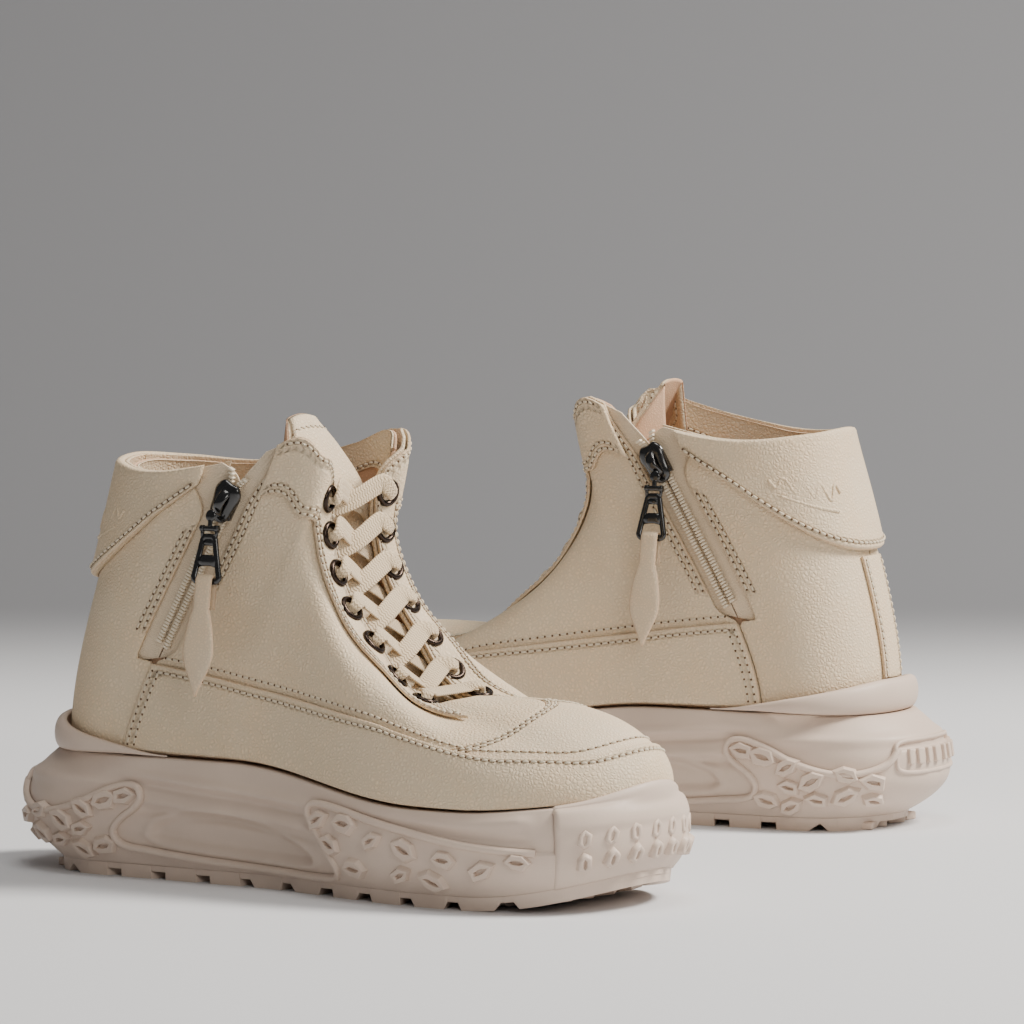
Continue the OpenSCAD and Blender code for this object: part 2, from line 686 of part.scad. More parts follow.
// ---- Lacing ----
lace_s0 = 0.40;
lace_s1 = 0.84;
arc_steps = 40;
function arc_point(i) = upper(-1 + mix(lace_s0, lace_s1, i / arc_steps), 1);
function arc_sum(n) = n == 0 ? 0 : arc_sum(n - 1) + norm(arc_point(n) - arc_point(n - 1));
arc_table = [for (i = [0:arc_steps]) [arc_sum(i), mix(lace_s0, lace_s1, i / arc_steps)]];
arc_total = arc_table[arc_steps][0];
function eyelet_s(k) = lookup(arc_total * k / (eyelet_pairs - 1), arc_table);
function eyelet_at(g, k, o) = facing(g, eyelet_s(k), eyelet_edge, o);
// Point of the facing a given distance in from its edge
function facing(g, s, d, o) =
    let(w = g * (1 - s))
    d < 0 ? skin(w, 1, o) + unit(skin(-w, 1, o) - skin(w, 1, o)) * -d
          : skin(w, 1 - d / rib_length(w), o);
// Point just past the facing's edge, where a strand bends over it
function over_edge(g, s, d, o) = let(w = g * (1 - s)) skin(w, 1 + d / rib_length(w), o);
function facing_normal(g, s) =
    let(w = g * (1 - s)) normal(function(a, b) upper(a, b), w, 1 - eyelet_edge / rib_length(w));
module eyelet_holes(g) {
    for (k = [0:eyelet_pairs - 1])
        frame(eyelet_at(g, k, 0), facing_normal(g, eyelet_s(k)), [1, 0, 0])
            cylinder(d = eyelet_hole + 1.5, h = 12, center = true, $fn = 24);
}
module eyelets() {
    wall_r = 0.6;
    flange_t = 1.3;
    flange_lift = 1.3;
    color(metal_c) for (g = [-1, 1]) for (k = [0:eyelet_pairs - 1])
        frame(eyelet_at(g, k, 0), facing_normal(g, eyelet_s(k)), [1, 0, 0])
            rotate_extrude($fn = 32) polygon([
                [eyelet_hole / 2, -0.3],
                [eyelet_hole / 2 + wall_r, -0.3],
                [eyelet_hole / 2 + wall_r, stay_out + flange_lift],
                [eyelet_d / 2, stay_out + flange_lift],
                [eyelet_d / 2 - 0.4, stay_out + flange_lift + flange_t * 0.7],
                [eyelet_hole / 2 + 0.9, stay_out + flange_lift + flange_t],
                [eyelet_hole / 2, stay_out + flange_lift + flange_t * 0.5]
            ]);
}

// Lace route: each entry is [point, face normal, width, thickness]
hole_w = 3.6;
hole_t = 2;
lift_low = 2.4;
lift_high = 4.6;
function lace_in(g, k) = [eyelet_at(g, k, -1.6), facing_normal(g, eyelet_s(k)), hole_w, hole_t];
function lace_out(g, k) = [eyelet_at(g, k, stay_out + 4.6), facing_normal(g, eyelet_s(k)), hole_w, hole_t];
function gap_point(g, k, u, lift) =
    let(s = (eyelet_s(k) + eyelet_s(k - 1)) / 2)
    mix(facing(g, s, 0, lift), facing(-g, s, 0, lift), u);
function lace_cross(g, k) =
    let(
        n = facing_normal(g, eyelet_s(k)),
        m = facing_normal(-g, eyelet_s(k - 1)),
        c = unit(n + m),
        sa = eyelet_s(k),
        sb = eyelet_s(k - 1),
        lift = g < 0 ? lift_high : lift_low
    )
    [
        lace_in(g, k),
        [facing(g, mix(sa, sb, 0.16), 0.8, -2), n, lace_w * 0.8, lace_t],
        [gap_point(g, k, 0.5, lift - 0.8), c, lace_w, lace_t],
        [over_edge(-g, mix(sa, sb, 0.86), 0.6, stay_out + 2.4), unit(2 * m + c), lace_w, lace_t],
        lace_out(-g, k - 1)
    ];
function lace_up(g, k) =
    k < 1 ? [lace_in(g, 0)] : concat(lace_cross(g, k), lace_up(-g, k - 1));
last_pair = eyelet_pairs - 1;
lace_bar = let(s = eyelet_s(last_pair), o = stay_out) [
    lace_out(-1, last_pair),
    [over_edge(-1, s + 0.03, 0.6, o + 2.2), facing_normal(-1, s), lace_w, lace_t],
    [over_edge(1, s + 0.03, 0.6, o + 2.2), facing_normal(1, s), lace_w, lace_t],
    lace_out(1, last_pair)
];
// Free end inside the boot: it leaves the top eyelet, passes the tongue's edge and
// hangs down the inner side to the footbed
tail_floor = board_t + footbed_t + 2.8;
function tail(g) =
    let(
        s = eyelet_s(0),
        n = facing_normal(g, s),
        a = skin(g * (1 - 0.33), 1 - 35 / rib_length(g * 0.67), -7),
        x = a[0] - 20,
        y = g * 15,
        floor_y = g * 25
    )
    [
        [facing(g, s, eyelet_edge + 6, -3.8), n, lace_w * 0.6, lace_t],
        [facing(g, 0.37, 24, -6.4), n, lace_w * 0.6, lace_t],
        [a + [-9, -g * 4, -2], unit([0.6, g * 0.5, 0.2]), lace_w, lace_t],
        [[x - 2, y, a[2] - 36], [0, g, 0], lace_w, lace_t],
        [[x - 1, y, a[2] - 64], [0, g, 0], lace_w, lace_t],
        [[x + 2, mix(y, floor_y, 0.5), rim_z(x) + tail_floor + 6], unit([-0.7, g * 0.3, 0.6]), lace_w, lace_t],
        [[x + 14, floor_y, rim_z(x + 14) + tail_floor], [0, 0, 1], lace_w, lace_t],
        [[x + 36, floor_y, rim_z(x + 36) + tail_floor], [0, 0, 1], lace_w * 0.8, lace_t]
    ];
function reversed(v) = [for (i = [len(v) - 1:-1:0]) v[i]];
LACE = concat(
    reversed(tail(last_pair % 2 == 0 ? -1 : 1)),
    reversed(lace_up(-1, last_pair)),
    lace_bar,
    lace_up(1, last_pair),
    tail(last_pair % 2 == 0 ? 1 : -1)
);
module flat_cord(route) {
    n = len(route) - 1;
    loft_ring = function(k)
        let(
            a = route[max(0, k - 1)][0],
            b = route[min(n, k + 1)][0],
            d = unit(b - a),
            e = route[k],
            side = unit(cross(d, e[1])),
            up = cross(side, d),
            hw = e[2] / 2,
            ht = e[3] / 2
        )
        [for (q = [[-1, -0.4], [-0.8, -1], [0.8, -1], [1, -0.4], [1, 0.4], [0.8, 1], [-0.8, 1], [-1, 0.4]])
            e[0] + side * q[0] * hw + up * q[1] * ht];
    loft(n, [for (k = [0:n]) loft_ring(k)]);
}
module lace() {
    color(lace_c) flat_cord(LACE);
}
module aglets() {
    last = len(LACE) - 1;
    for (pair = [[1, 0], [last - 1, last]]) {
        tip = LACE[pair[1]][0];
        dir = unit(tip - LACE[pair[0]][0]);
        color(lace_c) frame(tip + dir * 0.1, dir, [0, 0, 1]) cylinder(d = 2.6, h = 14, $fn = 20);
    }
}

// ---- Zip ----
zip_lift = 1.1;
zip_foot = skin(zip_w(-1), zip_low + 0.05, zip_lift);
zip_top = skin(zip_w(-1), zip_high, zip_lift);
zip_dir = unit(zip_top - zip_foot);
zip_side = unit(cross(normal(function(a, b) upper(a, b), zip_w(-1), 0.65), zip_dir));
zip_out = cross(zip_dir, zip_side);
zip_length = norm(zip_top - zip_foot);
zip_travel = zip_length - slider_drop - slider_l - 4;
// How far each row of teeth stands from the zip's middle line at x along the zip
function part_at(x) = 8 * pow(clamp((x - zip_length + slider_drop - 1) / (slider_drop + 2)), 1.3);
// Frame along the zip: +X up the zip, +Z out of the boot
module zip_frame(d) {
    frame(zip_foot + zip_dir * d, zip_out, zip_dir) children();
}
module zip_tape() {
    tape_gap = 0.5;
    tape_in = -5.25 * layer_gap;
    color(tape_c) for (g = [-1, 1]) panel(3, 8,
        function(a, b) let(
            t = mix(zip_low + 0.02, zip_high + 0.015, b),
            open = g * part_at((t - zip_low - 0.05) / (zip_high - zip_low - 0.05) * zip_length),
            d = open + mix(g < 0 ? -tape_w / 2 : tape_gap / 2, g < 0 ? -tape_gap / 2 : tape_w / 2, a)
        ) [zip_w(-1) + d / w_speed(zip_w(-1), t), t],
        tape_in, tape_in + 0.6);
}
tooth_w = 2;
tooth_h = 1.5;
tooth_root = 1.3;
module zip_teeth() {
    n = floor((zip_length - 6) / tooth_pitch);
    color(tape_c) zip_frame(0) {
        for (i = [0:n - 1]) for (g = [-1, 1])
            let(x = 2 + tooth_pitch * (i + (g > 0 ? 0.5 : 0)))
                translate([x, g * ((tooth_gap + tooth_w) / 2 + part_at(x)), 0])
                translate([-tooth_pitch * 0.31, -tooth_w / 2, -tooth_root])
                    cube([tooth_pitch * 0.62, tooth_w, tooth_h / 2 + tooth_root]);
    }
    color(metal_c) zip_frame(0) {
        translate([-1.2, 0, 0]) cube([1.8, tooth_gap + 2 * tooth_w, tooth_h + 0.4], center = true);
        for (g = [-1, 1]) let(x = zip_length - 2.2)
            translate([x, g * ((tooth_gap + tooth_w) / 2 + part_at(x)), 0])
                cube([1.8, tooth_w + 0.6, tooth_h + 0.4], center = true);
    }
}
plate_t = 1.1;
slider_clear = 0.35;
slider_at = zip_length - slider_drop - slider_l / 2;
bridge_h = 3.4;
module slider_plate(z) {
    translate([0, 0, z]) linear_extrude(plate_t) hull() {
        translate([slider_l / 2 - 3, slider_w / 2 - 2.2]) circle(2.2, $fn = 24);
        translate([slider_l / 2 - 3, -slider_w / 2 + 2.2]) circle(2.2, $fn = 24);
        translate([-slider_l / 2 + 1.8, 0]) circle(slider_w / 2 - 1.4, $fn = 32);
    }
}
module zip_slider() {
    face = tooth_h / 2 + slider_clear;
    color(black_c) zip_frame(slider_at) union() {
        slider_plate(face);
        translate([0, 0, face + plate_t]) rotate([90, 0, 0]) linear_extrude(3, center = true)
            difference() {
                polygon([[-6, -0.4], [5.4, -0.4], [5.4, 1.6], [3.6, bridge_h], [-4.4, bridge_h], [-6, 1.8]]);
                polygon([[-4.4, 0.4], [3.8, 0.4], [3.8, 1.2], [2.8, bridge_h - 1.2], [-3.8, bridge_h - 1.2], [-4.4, 1.2]]);
            }
        for (g = [-1, 1]) translate([-slider_l / 2 + 1, g * (slider_w / 2 - 0.6) - 0.5, -face])
            cube([slider_l - 3.4, 1, 2 * face + 0.1]);
    }
}
// Pull, link and tab hang straight down from the slider's bridge
hang_lean = 8;
zip_level = unit([zip_out[0], zip_out[1], 0]);
hang = zip_level * sin(hang_lean) - [0, 0, cos(hang_lean)];
hang_out = zip_level * cos(hang_lean) + [0, 0, sin(hang_lean)];
bridge_at = zip_foot + zip_dir * (slider_at - 5.2) + zip_out * (tooth_h / 2 + slider_clear + plate_t + bridge_h + 0.2);
swivel_l = 5;
ring_d = 4.6;
module hang_frame(d) {
    frame(bridge_at + hang * d, hang_out, hang) children();
}
module zip_swivel() {
    color(black_c) hang_frame(0) union() {
        translate([0, 0, 0.6]) cylinder(d = ring_d, h = 1.2, $fn = 32);
        translate([swivel_l / 2, 0, 1.2]) cube([swivel_l, 2, 1.2], center = true);
        translate([swivel_l, 0, 1.2]) rotate([90, 0, 0]) cylinder(d = 2, h = 4.4, center = true, $fn = 24);
    }
}
link_w = 9;
link_t = 1.4;
pin_z = 1.2;
eye_l = 3.4;
module zip_pull() {
    color(black_c) hang_frame(swivel_l) translate([0, 0, pin_z]) union() {
        for (g = [-1, 1]) translate([0, g * 3.1, 0]) rotate([90, 0, 0])
            cylinder(d = 2.6, h = 1.4, center = true, $fn = 24);
        difference() {
            translate([0, 0, -link_t / 2]) linear_extrude(link_t) difference() {
                polygon([[0, -3.8], [3, -3.8], [link_l - 2, -link_w / 2], [link_l, -link_w / 2 + 2],
                    [link_l, link_w / 2 - 2], [link_l - 2, link_w / 2], [3, 3.8], [0, 3.8]]);
                translate([-1, -2.4]) square([3.4, 4.8]);
                translate([6.2, 0]) circle(d = 2.8, $fn = 24);
                translate([link_l - 7, -link_w / 2 + 1.6]) square([5, link_w - 3.2]);
            }
        }
    }
}
bar_at = link_l - 1;
tab_wrap = 2.5;
module zip_tab() {
    color(leather_c) hang_frame(swivel_l + bar_at) translate([0, 0, pin_z]) union() {
        rotate([90, 0, 0]) rotate_extrude_ring();
        for (z = [1.25, -2.35]) translate([0.4, 0, z]) linear_extrude(1.1) leaf(tab_l * (z > 0 ? 1 : 0.4));
        translate([9, -3, -1.3]) cube([2, 6, 2.6]);
    }
}
module rotate_extrude_ring() {
    linear_extrude(5, center = true) difference() {
        circle(r = tab_wrap - 0.15, $fn = 40);
        circle(r = 1.45, $fn = 40);
        translate([0.9, -0.9]) square([3, 1.8]);
    }
}
module leaf(length) {
    polygon(concat(
        [for (i = [0:10]) [length * i / 10, leaf_half(i / 10, length)]],
        [for (i = [10:-1:0]) [length * i / 10, -leaf_half(i / 10, length)]]
    ));
}
function leaf_half(u, length) = mix(2.6, 0.6, u) + (tab_w / 2 - 1.2) * (length / tab_l) * pow(sin(180 * pow(u, 0.8)), 0.8);

// ---- The pair ----
module left() {
    translate([-middle_x, -middle_y, 0]) children();
}
module right() {
    translate([pair_x - middle_x, pair_y - middle_y, 0]) rotate(pair_turn) mirror([1, 0, 0]) children();
}
left() outsole();  // left_outsole
left() midsole();  // left_midsole
left() heel_wall();  // left_heel_wall
left() forefoot_wall();  // left_forefoot_wall
left() toe_bumper();  // left_toe_bumper
left() heel_clip();  // left_heel_clip
left() insole_board();  // left_insole_board
left() footbed();  // left_footbed
left() lining();  // left_lining
left() toe_puff();  // left_toe_puff
left() heel_counter();  // left_heel_counter
left() vamp();  // left_vamp
left() rand();  // left_rand
left() quarter_medial();  // left_quarter_medial
left() quarter_rear();  // left_quarter_rear
left() quarter_lateral();  // left_quarter_lateral
left() eyestay_medial();  // left_eyestay_medial
left() eyestay_lateral();  // left_eyestay_lateral
left() tongue();  // left_tongue
left() back_strip();  // left_back_strip
left() cuff();  // left_cuff
left() eyelets();  // left_eyelets
left() lace();  // left_lace
left() aglets();  // left_aglets
left() zip_tape();  // left_zip_tape
left() zip_teeth();  // left_zip_teeth
left() zip_slider();  // left_zip_slider
left() zip_swivel();  // left_zip_swivel
left() zip_pull();  // left_zip_pull
left() zip_tab();  // left_zip_tab
right() outsole();  // right_outsole
right() midsole();  // right_midsole
right() heel_wall();  // right_heel_wall
right() forefoot_wall();  // right_forefoot_wall
right() toe_bumper();  // right_toe_bumper
right() heel_clip();  // right_heel_clip
right() insole_board();  // right_insole_board
right() footbed();  // right_footbed
right() lining();  // right_lining
right() toe_puff();  // right_toe_puff
right() heel_counter();  // right_heel_counter
right() vamp();  // right_vamp
right() rand();  // right_rand
right() quarter_medial();  // right_quarter_medial
right() quarter_rear();  // right_quarter_rear
right() quarter_lateral();  // right_quarter_lateral
right() eyestay_medial();  // right_eyestay_medial
right() eyestay_lateral();  // right_eyestay_lateral
right() tongue();  // right_tongue
right() back_strip();  // right_back_strip
right() cuff();  // right_cuff
right() eyelets();  // right_eyelets
right() lace();  // right_lace
right() aglets();  // right_aglets
right() zip_tape();  // right_zip_tape
right() zip_teeth();  // right_zip_teeth
right() zip_slider();  // right_zip_slider
right() zip_swivel();  // right_zip_swivel
right() zip_pull();  // right_zip_pull
right() zip_tab();  // right_zip_tab
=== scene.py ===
import math
import bpy
import numpy as np
from mathutils import Matrix, Vector


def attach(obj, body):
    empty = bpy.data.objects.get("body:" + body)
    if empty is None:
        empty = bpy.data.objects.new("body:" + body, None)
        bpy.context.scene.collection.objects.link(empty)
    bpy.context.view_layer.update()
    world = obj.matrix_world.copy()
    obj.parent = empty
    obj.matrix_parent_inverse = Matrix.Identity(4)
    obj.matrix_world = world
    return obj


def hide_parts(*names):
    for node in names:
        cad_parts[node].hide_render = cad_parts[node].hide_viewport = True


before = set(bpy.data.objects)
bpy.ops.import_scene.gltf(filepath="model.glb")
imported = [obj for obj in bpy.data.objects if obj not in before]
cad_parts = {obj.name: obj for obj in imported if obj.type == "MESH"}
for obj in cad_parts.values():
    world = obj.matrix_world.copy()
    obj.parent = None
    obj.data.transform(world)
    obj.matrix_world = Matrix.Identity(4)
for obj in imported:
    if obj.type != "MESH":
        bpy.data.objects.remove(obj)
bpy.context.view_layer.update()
bpy.ops.object.select_all(action="DESELECT")

# The left boot is described in millimetres from its own heel: X to the toe, -Y to the inner
# side, Z up from the floor. Both boots are placed from that description.
SIDES = ("left", "right")
PAIR_MIDDLE = np.array([126.0, 123.9, 0.0])
PAIR_STEP = np.array([250.0, 268.0, 0.0])
PAIR_TURN = math.radians(8)


def placed(points, side):
    """Points of the left boot in millimetres, as points of either boot in metres."""
    p = np.asarray(points, float).reshape(-1, 3)
    if side == "right":
        x, y = -p[:, 0], p[:, 1]
        c, s = math.cos(PAIR_TURN), math.sin(PAIR_TURN)
        p = np.column_stack([c * x - s * y, s * x + c * y, p[:, 2]]) + PAIR_STEP
    return (p - PAIR_MIDDLE) * 0.001


# ---- Camera ----
def add_camera():
    data = bpy.data.cameras.new("camera")
    data.lens = 288.8
    data.sensor_width = 36
    data.clip_end = 60
    cam = bpy.data.objects.new("camera", data)
    bpy.context.scene.collection.objects.link(cam)
    cam.location = (1.875 - 0.126, -2.443 - 0.1239, 0.371)
    tilt = math.radians(4.5)
    look = Vector((-0.561 * math.cos(tilt), 0.828 * math.cos(tilt), -math.sin(tilt)))
    cam.rotation_euler = look.to_track_quat("-Z", "Y").to_euler()
    bpy.context.scene.camera = cam


add_camera()

# ---- The shape of the boot ----
L = 292.0
HEEL_X, WAIST_X, BALL_X = 0.205 * L, 0.43 * L, 0.725 * L
HEEL_IN, TOE_IN = 11.0, 5.0
HEEL_SET, TOE_SET = 33.0, 11.0
HEEL_SHARE, SIDE_SHARE = 0.14, 0.66
SOLE_HALF = np.array([42.0, 42.0, 53.0])
LAST_HALF = np.array([33.5, 34.5, 45.5])
GAP = 0.2
PANEL = 1.4
OVER_IN = PANEL + 1.75 * GAP
OVER_OUT = OVER_IN + 1.2
STAY_IN = OVER_IN + 2.5 * GAP
STAY_OUT = STAY_IN + 1.2
STIFF_OUT = -2.5 * GAP
LINING_OUT = STIFF_OUT - 0.6 - 2.5 * GAP
ZIP_S, ZIP_LOW, ZIP_HIGH, ZIP_WINDOW = 0.178, 0.315, 0.975, 14.0


def mix(a, b, u):
    return a + (b - a) * u


def clamp(u):
    return np.clip(u, 0.0, 1.0)


def smooth(a, b, x):
    u = clamp((x - a) / (b - a))
    return u * u * (3 - 2 * u)


def bump_at(x, middle, width):
    return np.exp(-(((x - middle) / width) ** 2))


def wrap(w):
    return np.where(w > 1, w - 2, np.where(w < -1, w + 2, w))


def share(w):
    return 1 - np.abs(wrap(w))


def side_of(w):
    return np.where(wrap(w) < 0, -1.0, 1.0)


def unit(v):
    return v / np.maximum(np.linalg.norm(v, axis=-1, keepdims=True), 1e-9)


# Closer columns where the heel and the toe curve
HEEL_COLS, SIDE_COLS = 0.26, 0.56


def stretch(a):
    return np.interp(a, [0, HEEL_COLS, SIDE_COLS, 1], [0, HEEL_SHARE, SIDE_SHARE, 1])


def squeeze(s):
    return np.interp(s, [0, HEEL_SHARE, SIDE_SHARE, 1], [0, HEEL_COLS, SIDE_COLS, 1])


def share_at(s0, s1, a):
    return stretch(mix(squeeze(s0), squeeze(s1), a))


def round_at(a):
    return np.where(a < 0.5, -1 + stretch(2 * a), 1 - stretch(2 - 2 * a))


def half_width(x, h):
    return np.where(
        x < WAIST_X,
        mix(h[0], h[1], smooth(HEEL_X, WAIST_X, x)),
        mix(h[1], h[2], smooth(WAIST_X, BALL_X - 6, x)),
    )


def centre_y(x):
    return 1.5 * smooth(0, BALL_X, x) - 5 * smooth(WAIST_X, L, x)


def plan(s, g, half, ends, power):
    q = 2 / power
    heel = np.radians(90 * clamp(s / HEEL_SHARE))
    toe = np.radians(90 * clamp((s - SIDE_SHARE) / (1 - SIDE_SHARE)))
    middle = (s - HEEL_SHARE) / (SIDE_SHARE - HEEL_SHARE)
    x = np.where(
        s < HEEL_SHARE,
        HEEL_X - (HEEL_X - ends[0]) * np.abs(np.cos(heel)) ** q,
        np.where(
            s < SIDE_SHARE,
            mix(HEEL_X, BALL_X, middle),
            BALL_X + (ends[1] - BALL_X) * np.abs(np.sin(toe)) ** q,
        ),
    )
    y = np.where(
        s < HEEL_SHARE,
        half[0] * np.abs(np.sin(heel)) ** q,
        np.where(s < SIDE_SHARE, half_width(x, half), half[2] * np.abs(np.cos(toe)) ** q),
    )
    return x, g * y + centre_y(x)


def rim_z(x):
    return 45 - 10 * smooth(0.4 * L, 0.72 * L, x) + 5 * smooth(0.78 * L, L, x)


def spring_z(x):
    return 13 * (np.maximum(0, x - 0.79 * L) / (0.21 * L)) ** 2


def foot_z(x):
    return spring_z(x) + 5.0


def wall_inset(s, v):
    low = (5 + 11 * (1 - smooth(0.03, 0.14, s))) * (1 - clamp(v / 0.42)) ** 2
    return low + (3 + 9 * (1 - smooth(0.02, 0.2, s))) * clamp((v - 0.55) / 0.45) ** 2


def wall(w, v):
    """The outer face of the sole: w runs round the boot, v from the tread to the upper edge."""
    w, v = np.broadcast_arrays(np.asarray(w, float), np.asarray(v, float))
    s = share(w)
    e = wall_inset(s, v)
    half = [h - e for h in SOLE_HALF]
    x, y = plan(s, side_of(w), half, (HEEL_IN + e, L - TOE_IN - e), 2.3)
    return np.stack([x, y, mix(foot_z(x), rim_z(x), v)], -1)


# Stations of the top edge of the upper, and of the two handles that shape each rib
RIBS = np.array([
    [0, 55.5, 0, 153, -3, 0, 28, -9, 0, -36],
    [0.07, 63, 20, 151.5, -3, 0, 28, -8, -1, -35],
    [0.14, 89.5, 33, 150.5, 0, -2, 30, -9, -3, -34],
    [ZIP_S, 125.5, 33, 157.5, 3, -4, 32, -14, -3, -35],
    [0.22, 147, 30, 165, 4, -4, 35, -14, 0, -40],
    [0.28, 152.5, 26, 159, 4, -4, 38, -9, 4, -42],
    [0.34, 152, 22, 156, 4, -2, 36, -4, 9, -33],
    [0.38, 149, 17, 151, 3, -1, 34, 0, 15, -26],
    [0.46, 146.5, 14, 138, 1, 0, 31, 3, 17, -20],
    [0.54, 148.5, 13, 122, 0, 0, 28, 4, 19, -14],
    [0.62, 154.5, 13, 106, 0, 0, 25, 5, 21, -11],
    [0.70, 166.5, 13, 90, 0, 1, 22, 7, 22, -9],
    [0.78, 178, 13, 75, 2, 2, 20, 11, 22, -7],
    [0.86, 190, 12, 67.5, 3, 2, 21, 20, 20, -3],
    [0.93, 200, 8, 69, 4, 1, 24, 34, 13, 1],
    [1.00, 204, 0, 70, 4, 0, 25.5, 50, 0, 3],
])
ACROSS = np.array([-1, 1, -1, 1, 1, -1, 1, 1, -1, 1])
AFTER = RIBS[-2] * ACROSS
AFTER[0] += 2
RIB_ROWS = np.vstack([RIBS[1] * ACROSS, RIBS, AFTER])
RIB_SLOPES = (RIB_ROWS[2:] - RIB_ROWS[:-2]) / (RIB_ROWS[2:, :1] - RIB_ROWS[:-2, :1])


def rib_at(s):
    i = np.clip(np.searchsorted(RIBS[:, 0], s, side="right") - 1, 0, len(RIBS) - 2)
    a, b = RIBS[i], RIBS[i + 1]
    d = (b[..., 0] - a[..., 0])[..., None]
    u = ((s - a[..., 0]) / d[..., 0])[..., None]
    return (
        a * (1 + 2 * u) * (1 - u) ** 2
        + RIB_SLOPES[i] * d * u * (1 - u) ** 2
        + b * u * u * (3 - 2 * u)
        + RIB_SLOPES[i + 1] * d * u * u * (u - 1)
    )


def upper(w, t):
    """The inner face of the leather: w runs round the boot, t from the sole to the top edge."""
    w, t = np.broadcast_arrays(np.asarray(w, float), np.asarray(t, float))
    s, g = share(w), side_of(w)
    r = rib_at(s)
    x, y = plan(s, g, LAST_HALF, (HEEL_SET, L - TOE_SET), 2.1)
    p0 = np.stack([x, y, rim_z(x) + GAP], -1)
    p3 = np.stack([r[..., 1], g * r[..., 2] + centre_y(r[..., 1]), r[..., 3]], -1)
    p1 = p0 + np.stack([r[..., 4], g * r[..., 5], r[..., 6]], -1)
    p2 = p3 + np.stack([r[..., 7], g * r[..., 8], r[..., 9]], -1)
    t = t[..., None]
    m = 1 - t
    return p0 * m**3 + 3 * p1 * m * m * t + 3 * p2 * m * t * t + p3 * t**3


def normal(f, w, t, step=0.002):
    return unit(np.cross(f(w + step, t) - f(w - step, t), f(w, t + step) - f(w, t - step)))


def skin(w, t, o):
    w, t = np.broadcast_arrays(np.asarray(w, float), np.asarray(t, float))
    return upper(w, t) + np.asarray(o)[..., None] * normal(upper, w, t)


def clad(w, v, o):
    w, v = np.broadcast_arrays(np.asarray(w, float), np.asarray(v, float))
    return wall(w, v) + np.asarray(o)[..., None] * normal(wall, w, v)


def rib_length(w):
    return np.linalg.norm(upper(w, 1) - upper(w, 0.5),
        axis=-1) + np.linalg.norm(upper(w, 0.5) - upper(w, 0), axis=-1)


def w_speed(w, t):
    along = unit(upper(w, t + 0.004) - upper(w, t - 0.004))
    return np.linalg.norm(np.cross(upper(w + 0.004, t) - upper(w - 0.004, t), along), axis=-1) / 0.008


def t_at(w, z, lo=0.0, hi=0.7):
    w, z = np.broadcast_arrays(np.asarray(w, float), np.asarray(z, float))
    lo, hi = np.full(w.shape, lo), np.full(w.shape, hi)
    for _ in range(16):
        m = (lo + hi) / 2
        below = upper(w, m)[..., 2] < z
        lo, hi = np.where(below, m, lo), np.where(below, hi, m)
    return (lo + hi) / 2


def boot_piece(name, verts, faces, material, body="boot", node=None, uv=None, seam=None, smooth_faces=True):
    """One piece on each boot, from points of the left boot and a list of faces."""
    made = []
    verts = np.asarray(verts, float).reshape(-1, 3)
    for side in SIDES:
        mesh = bpy.data.meshes.new(side + "_" + name)
        flip = (side == "right")
        polys = [f[::-1] for f in faces] if flip else faces
        mesh.from_pydata(placed(verts, side).tolist(), [], polys)
        if uv is not None:
            layer = mesh.uv_layers.new(name="UVMap")
            at = np.zeros(len(mesh.loops), dtype=np.int32)
            mesh.loops.foreach_get("vertex_index", at)
            layer.data.foreach_set("uv", np.asarray(uv, np.float32)[at].ravel())
        if seam is not None:
            data = mesh.attributes.new("seam", "FLOAT_VECTOR", "POINT")
            data.data.foreach_set("vector", np.asarray(seam, np.float32).ravel())
        mesh.polygons.foreach_set("use_smooth", [smooth_faces] * len(mesh.polygons))
        mesh.update()
        obj = bpy.data.objects.new(side + "_" + name, mesh)
        bpy.context.scene.collection.objects.link(obj)
        mesh.materials.append(material)
        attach(obj, side + "_" + body)
        if node:
            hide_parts(side + "_" + node)
        made.append(obj)
    return made


def facing_out(verts, faces):
    """The faces of a closed shell, turned outwards."""
    v = np.asarray(verts, float).reshape(-1, 3)
    total = 0.0
    for f in faces:
        for k in range(1, len(f) - 1):
            total += np.dot(v[f[0]], np.cross(v[f[k]], v[f[k + 1]]))
    return faces if total > 0 else [tuple(reversed(f)) for f in faces]


def shell(outer, inner, loop=False):
    """A closed sheet between two grids of points."""
    nu, nv = outer.shape[0], outer.shape[1]
    n = nu * nv
    cols = nu if loop else nu - 1
    faces = []
    for i in range(cols):
        k = (i + 1) % nu
        for j in range(nv - 1):
            a, b, c, d = i * nv + j, k * nv + j, k * nv + j + 1, i * nv + j + 1
            faces.append((a, b, c, d))
            faces.append((n + a, n + d, n + c, n + b))
        faces.append((i * nv, n + i * nv, n + k * nv, k * nv))
        faces.append((i * nv + nv - 1, k * nv + nv - 1, n + k * nv + nv - 1, n + i * nv + nv - 1))
    if not loop:
        e = (nu - 1) * nv
        for j in range(nv - 1):
            faces.append((j, j + 1, n + j + 1, n + j))
            faces.append((e + j, n + e + j, n + e + j + 1, e + j + 1))
    verts = np.concatenate([outer.reshape(-1, 3), inner.reshape(-1, 3)])
    return verts, facing_out(verts, faces)


def tube(rings, cap=True):
    """A closed solid through rings of the same number of points."""
    rings = np.asarray(rings)
    n, m = rings.shape[:2]
    faces = [(k * m + i, k * m + (i + 1) % m, (k + 1) * m + (i + 1) % m, (k + 1) * m + i)
             for k in range(n - 1) for i in range(m)]
    if cap:
        faces += [tuple(reversed(range(m))), tuple((n - 1) * m + i for i in range(m))]
    verts = rings.reshape(-1, 3)
    return verts, facing_out(verts, faces)


def gathered(parts):
    """Several shells as one list of points and faces."""
    verts, faces, at = [], [], 0
    for v, f in parts:
        verts.append(np.asarray(v).reshape(-1, 3))
        faces += [tuple(i + at for i in q) for q in f]
        at += len(verts[-1])
    return np.concatenate(verts), faces


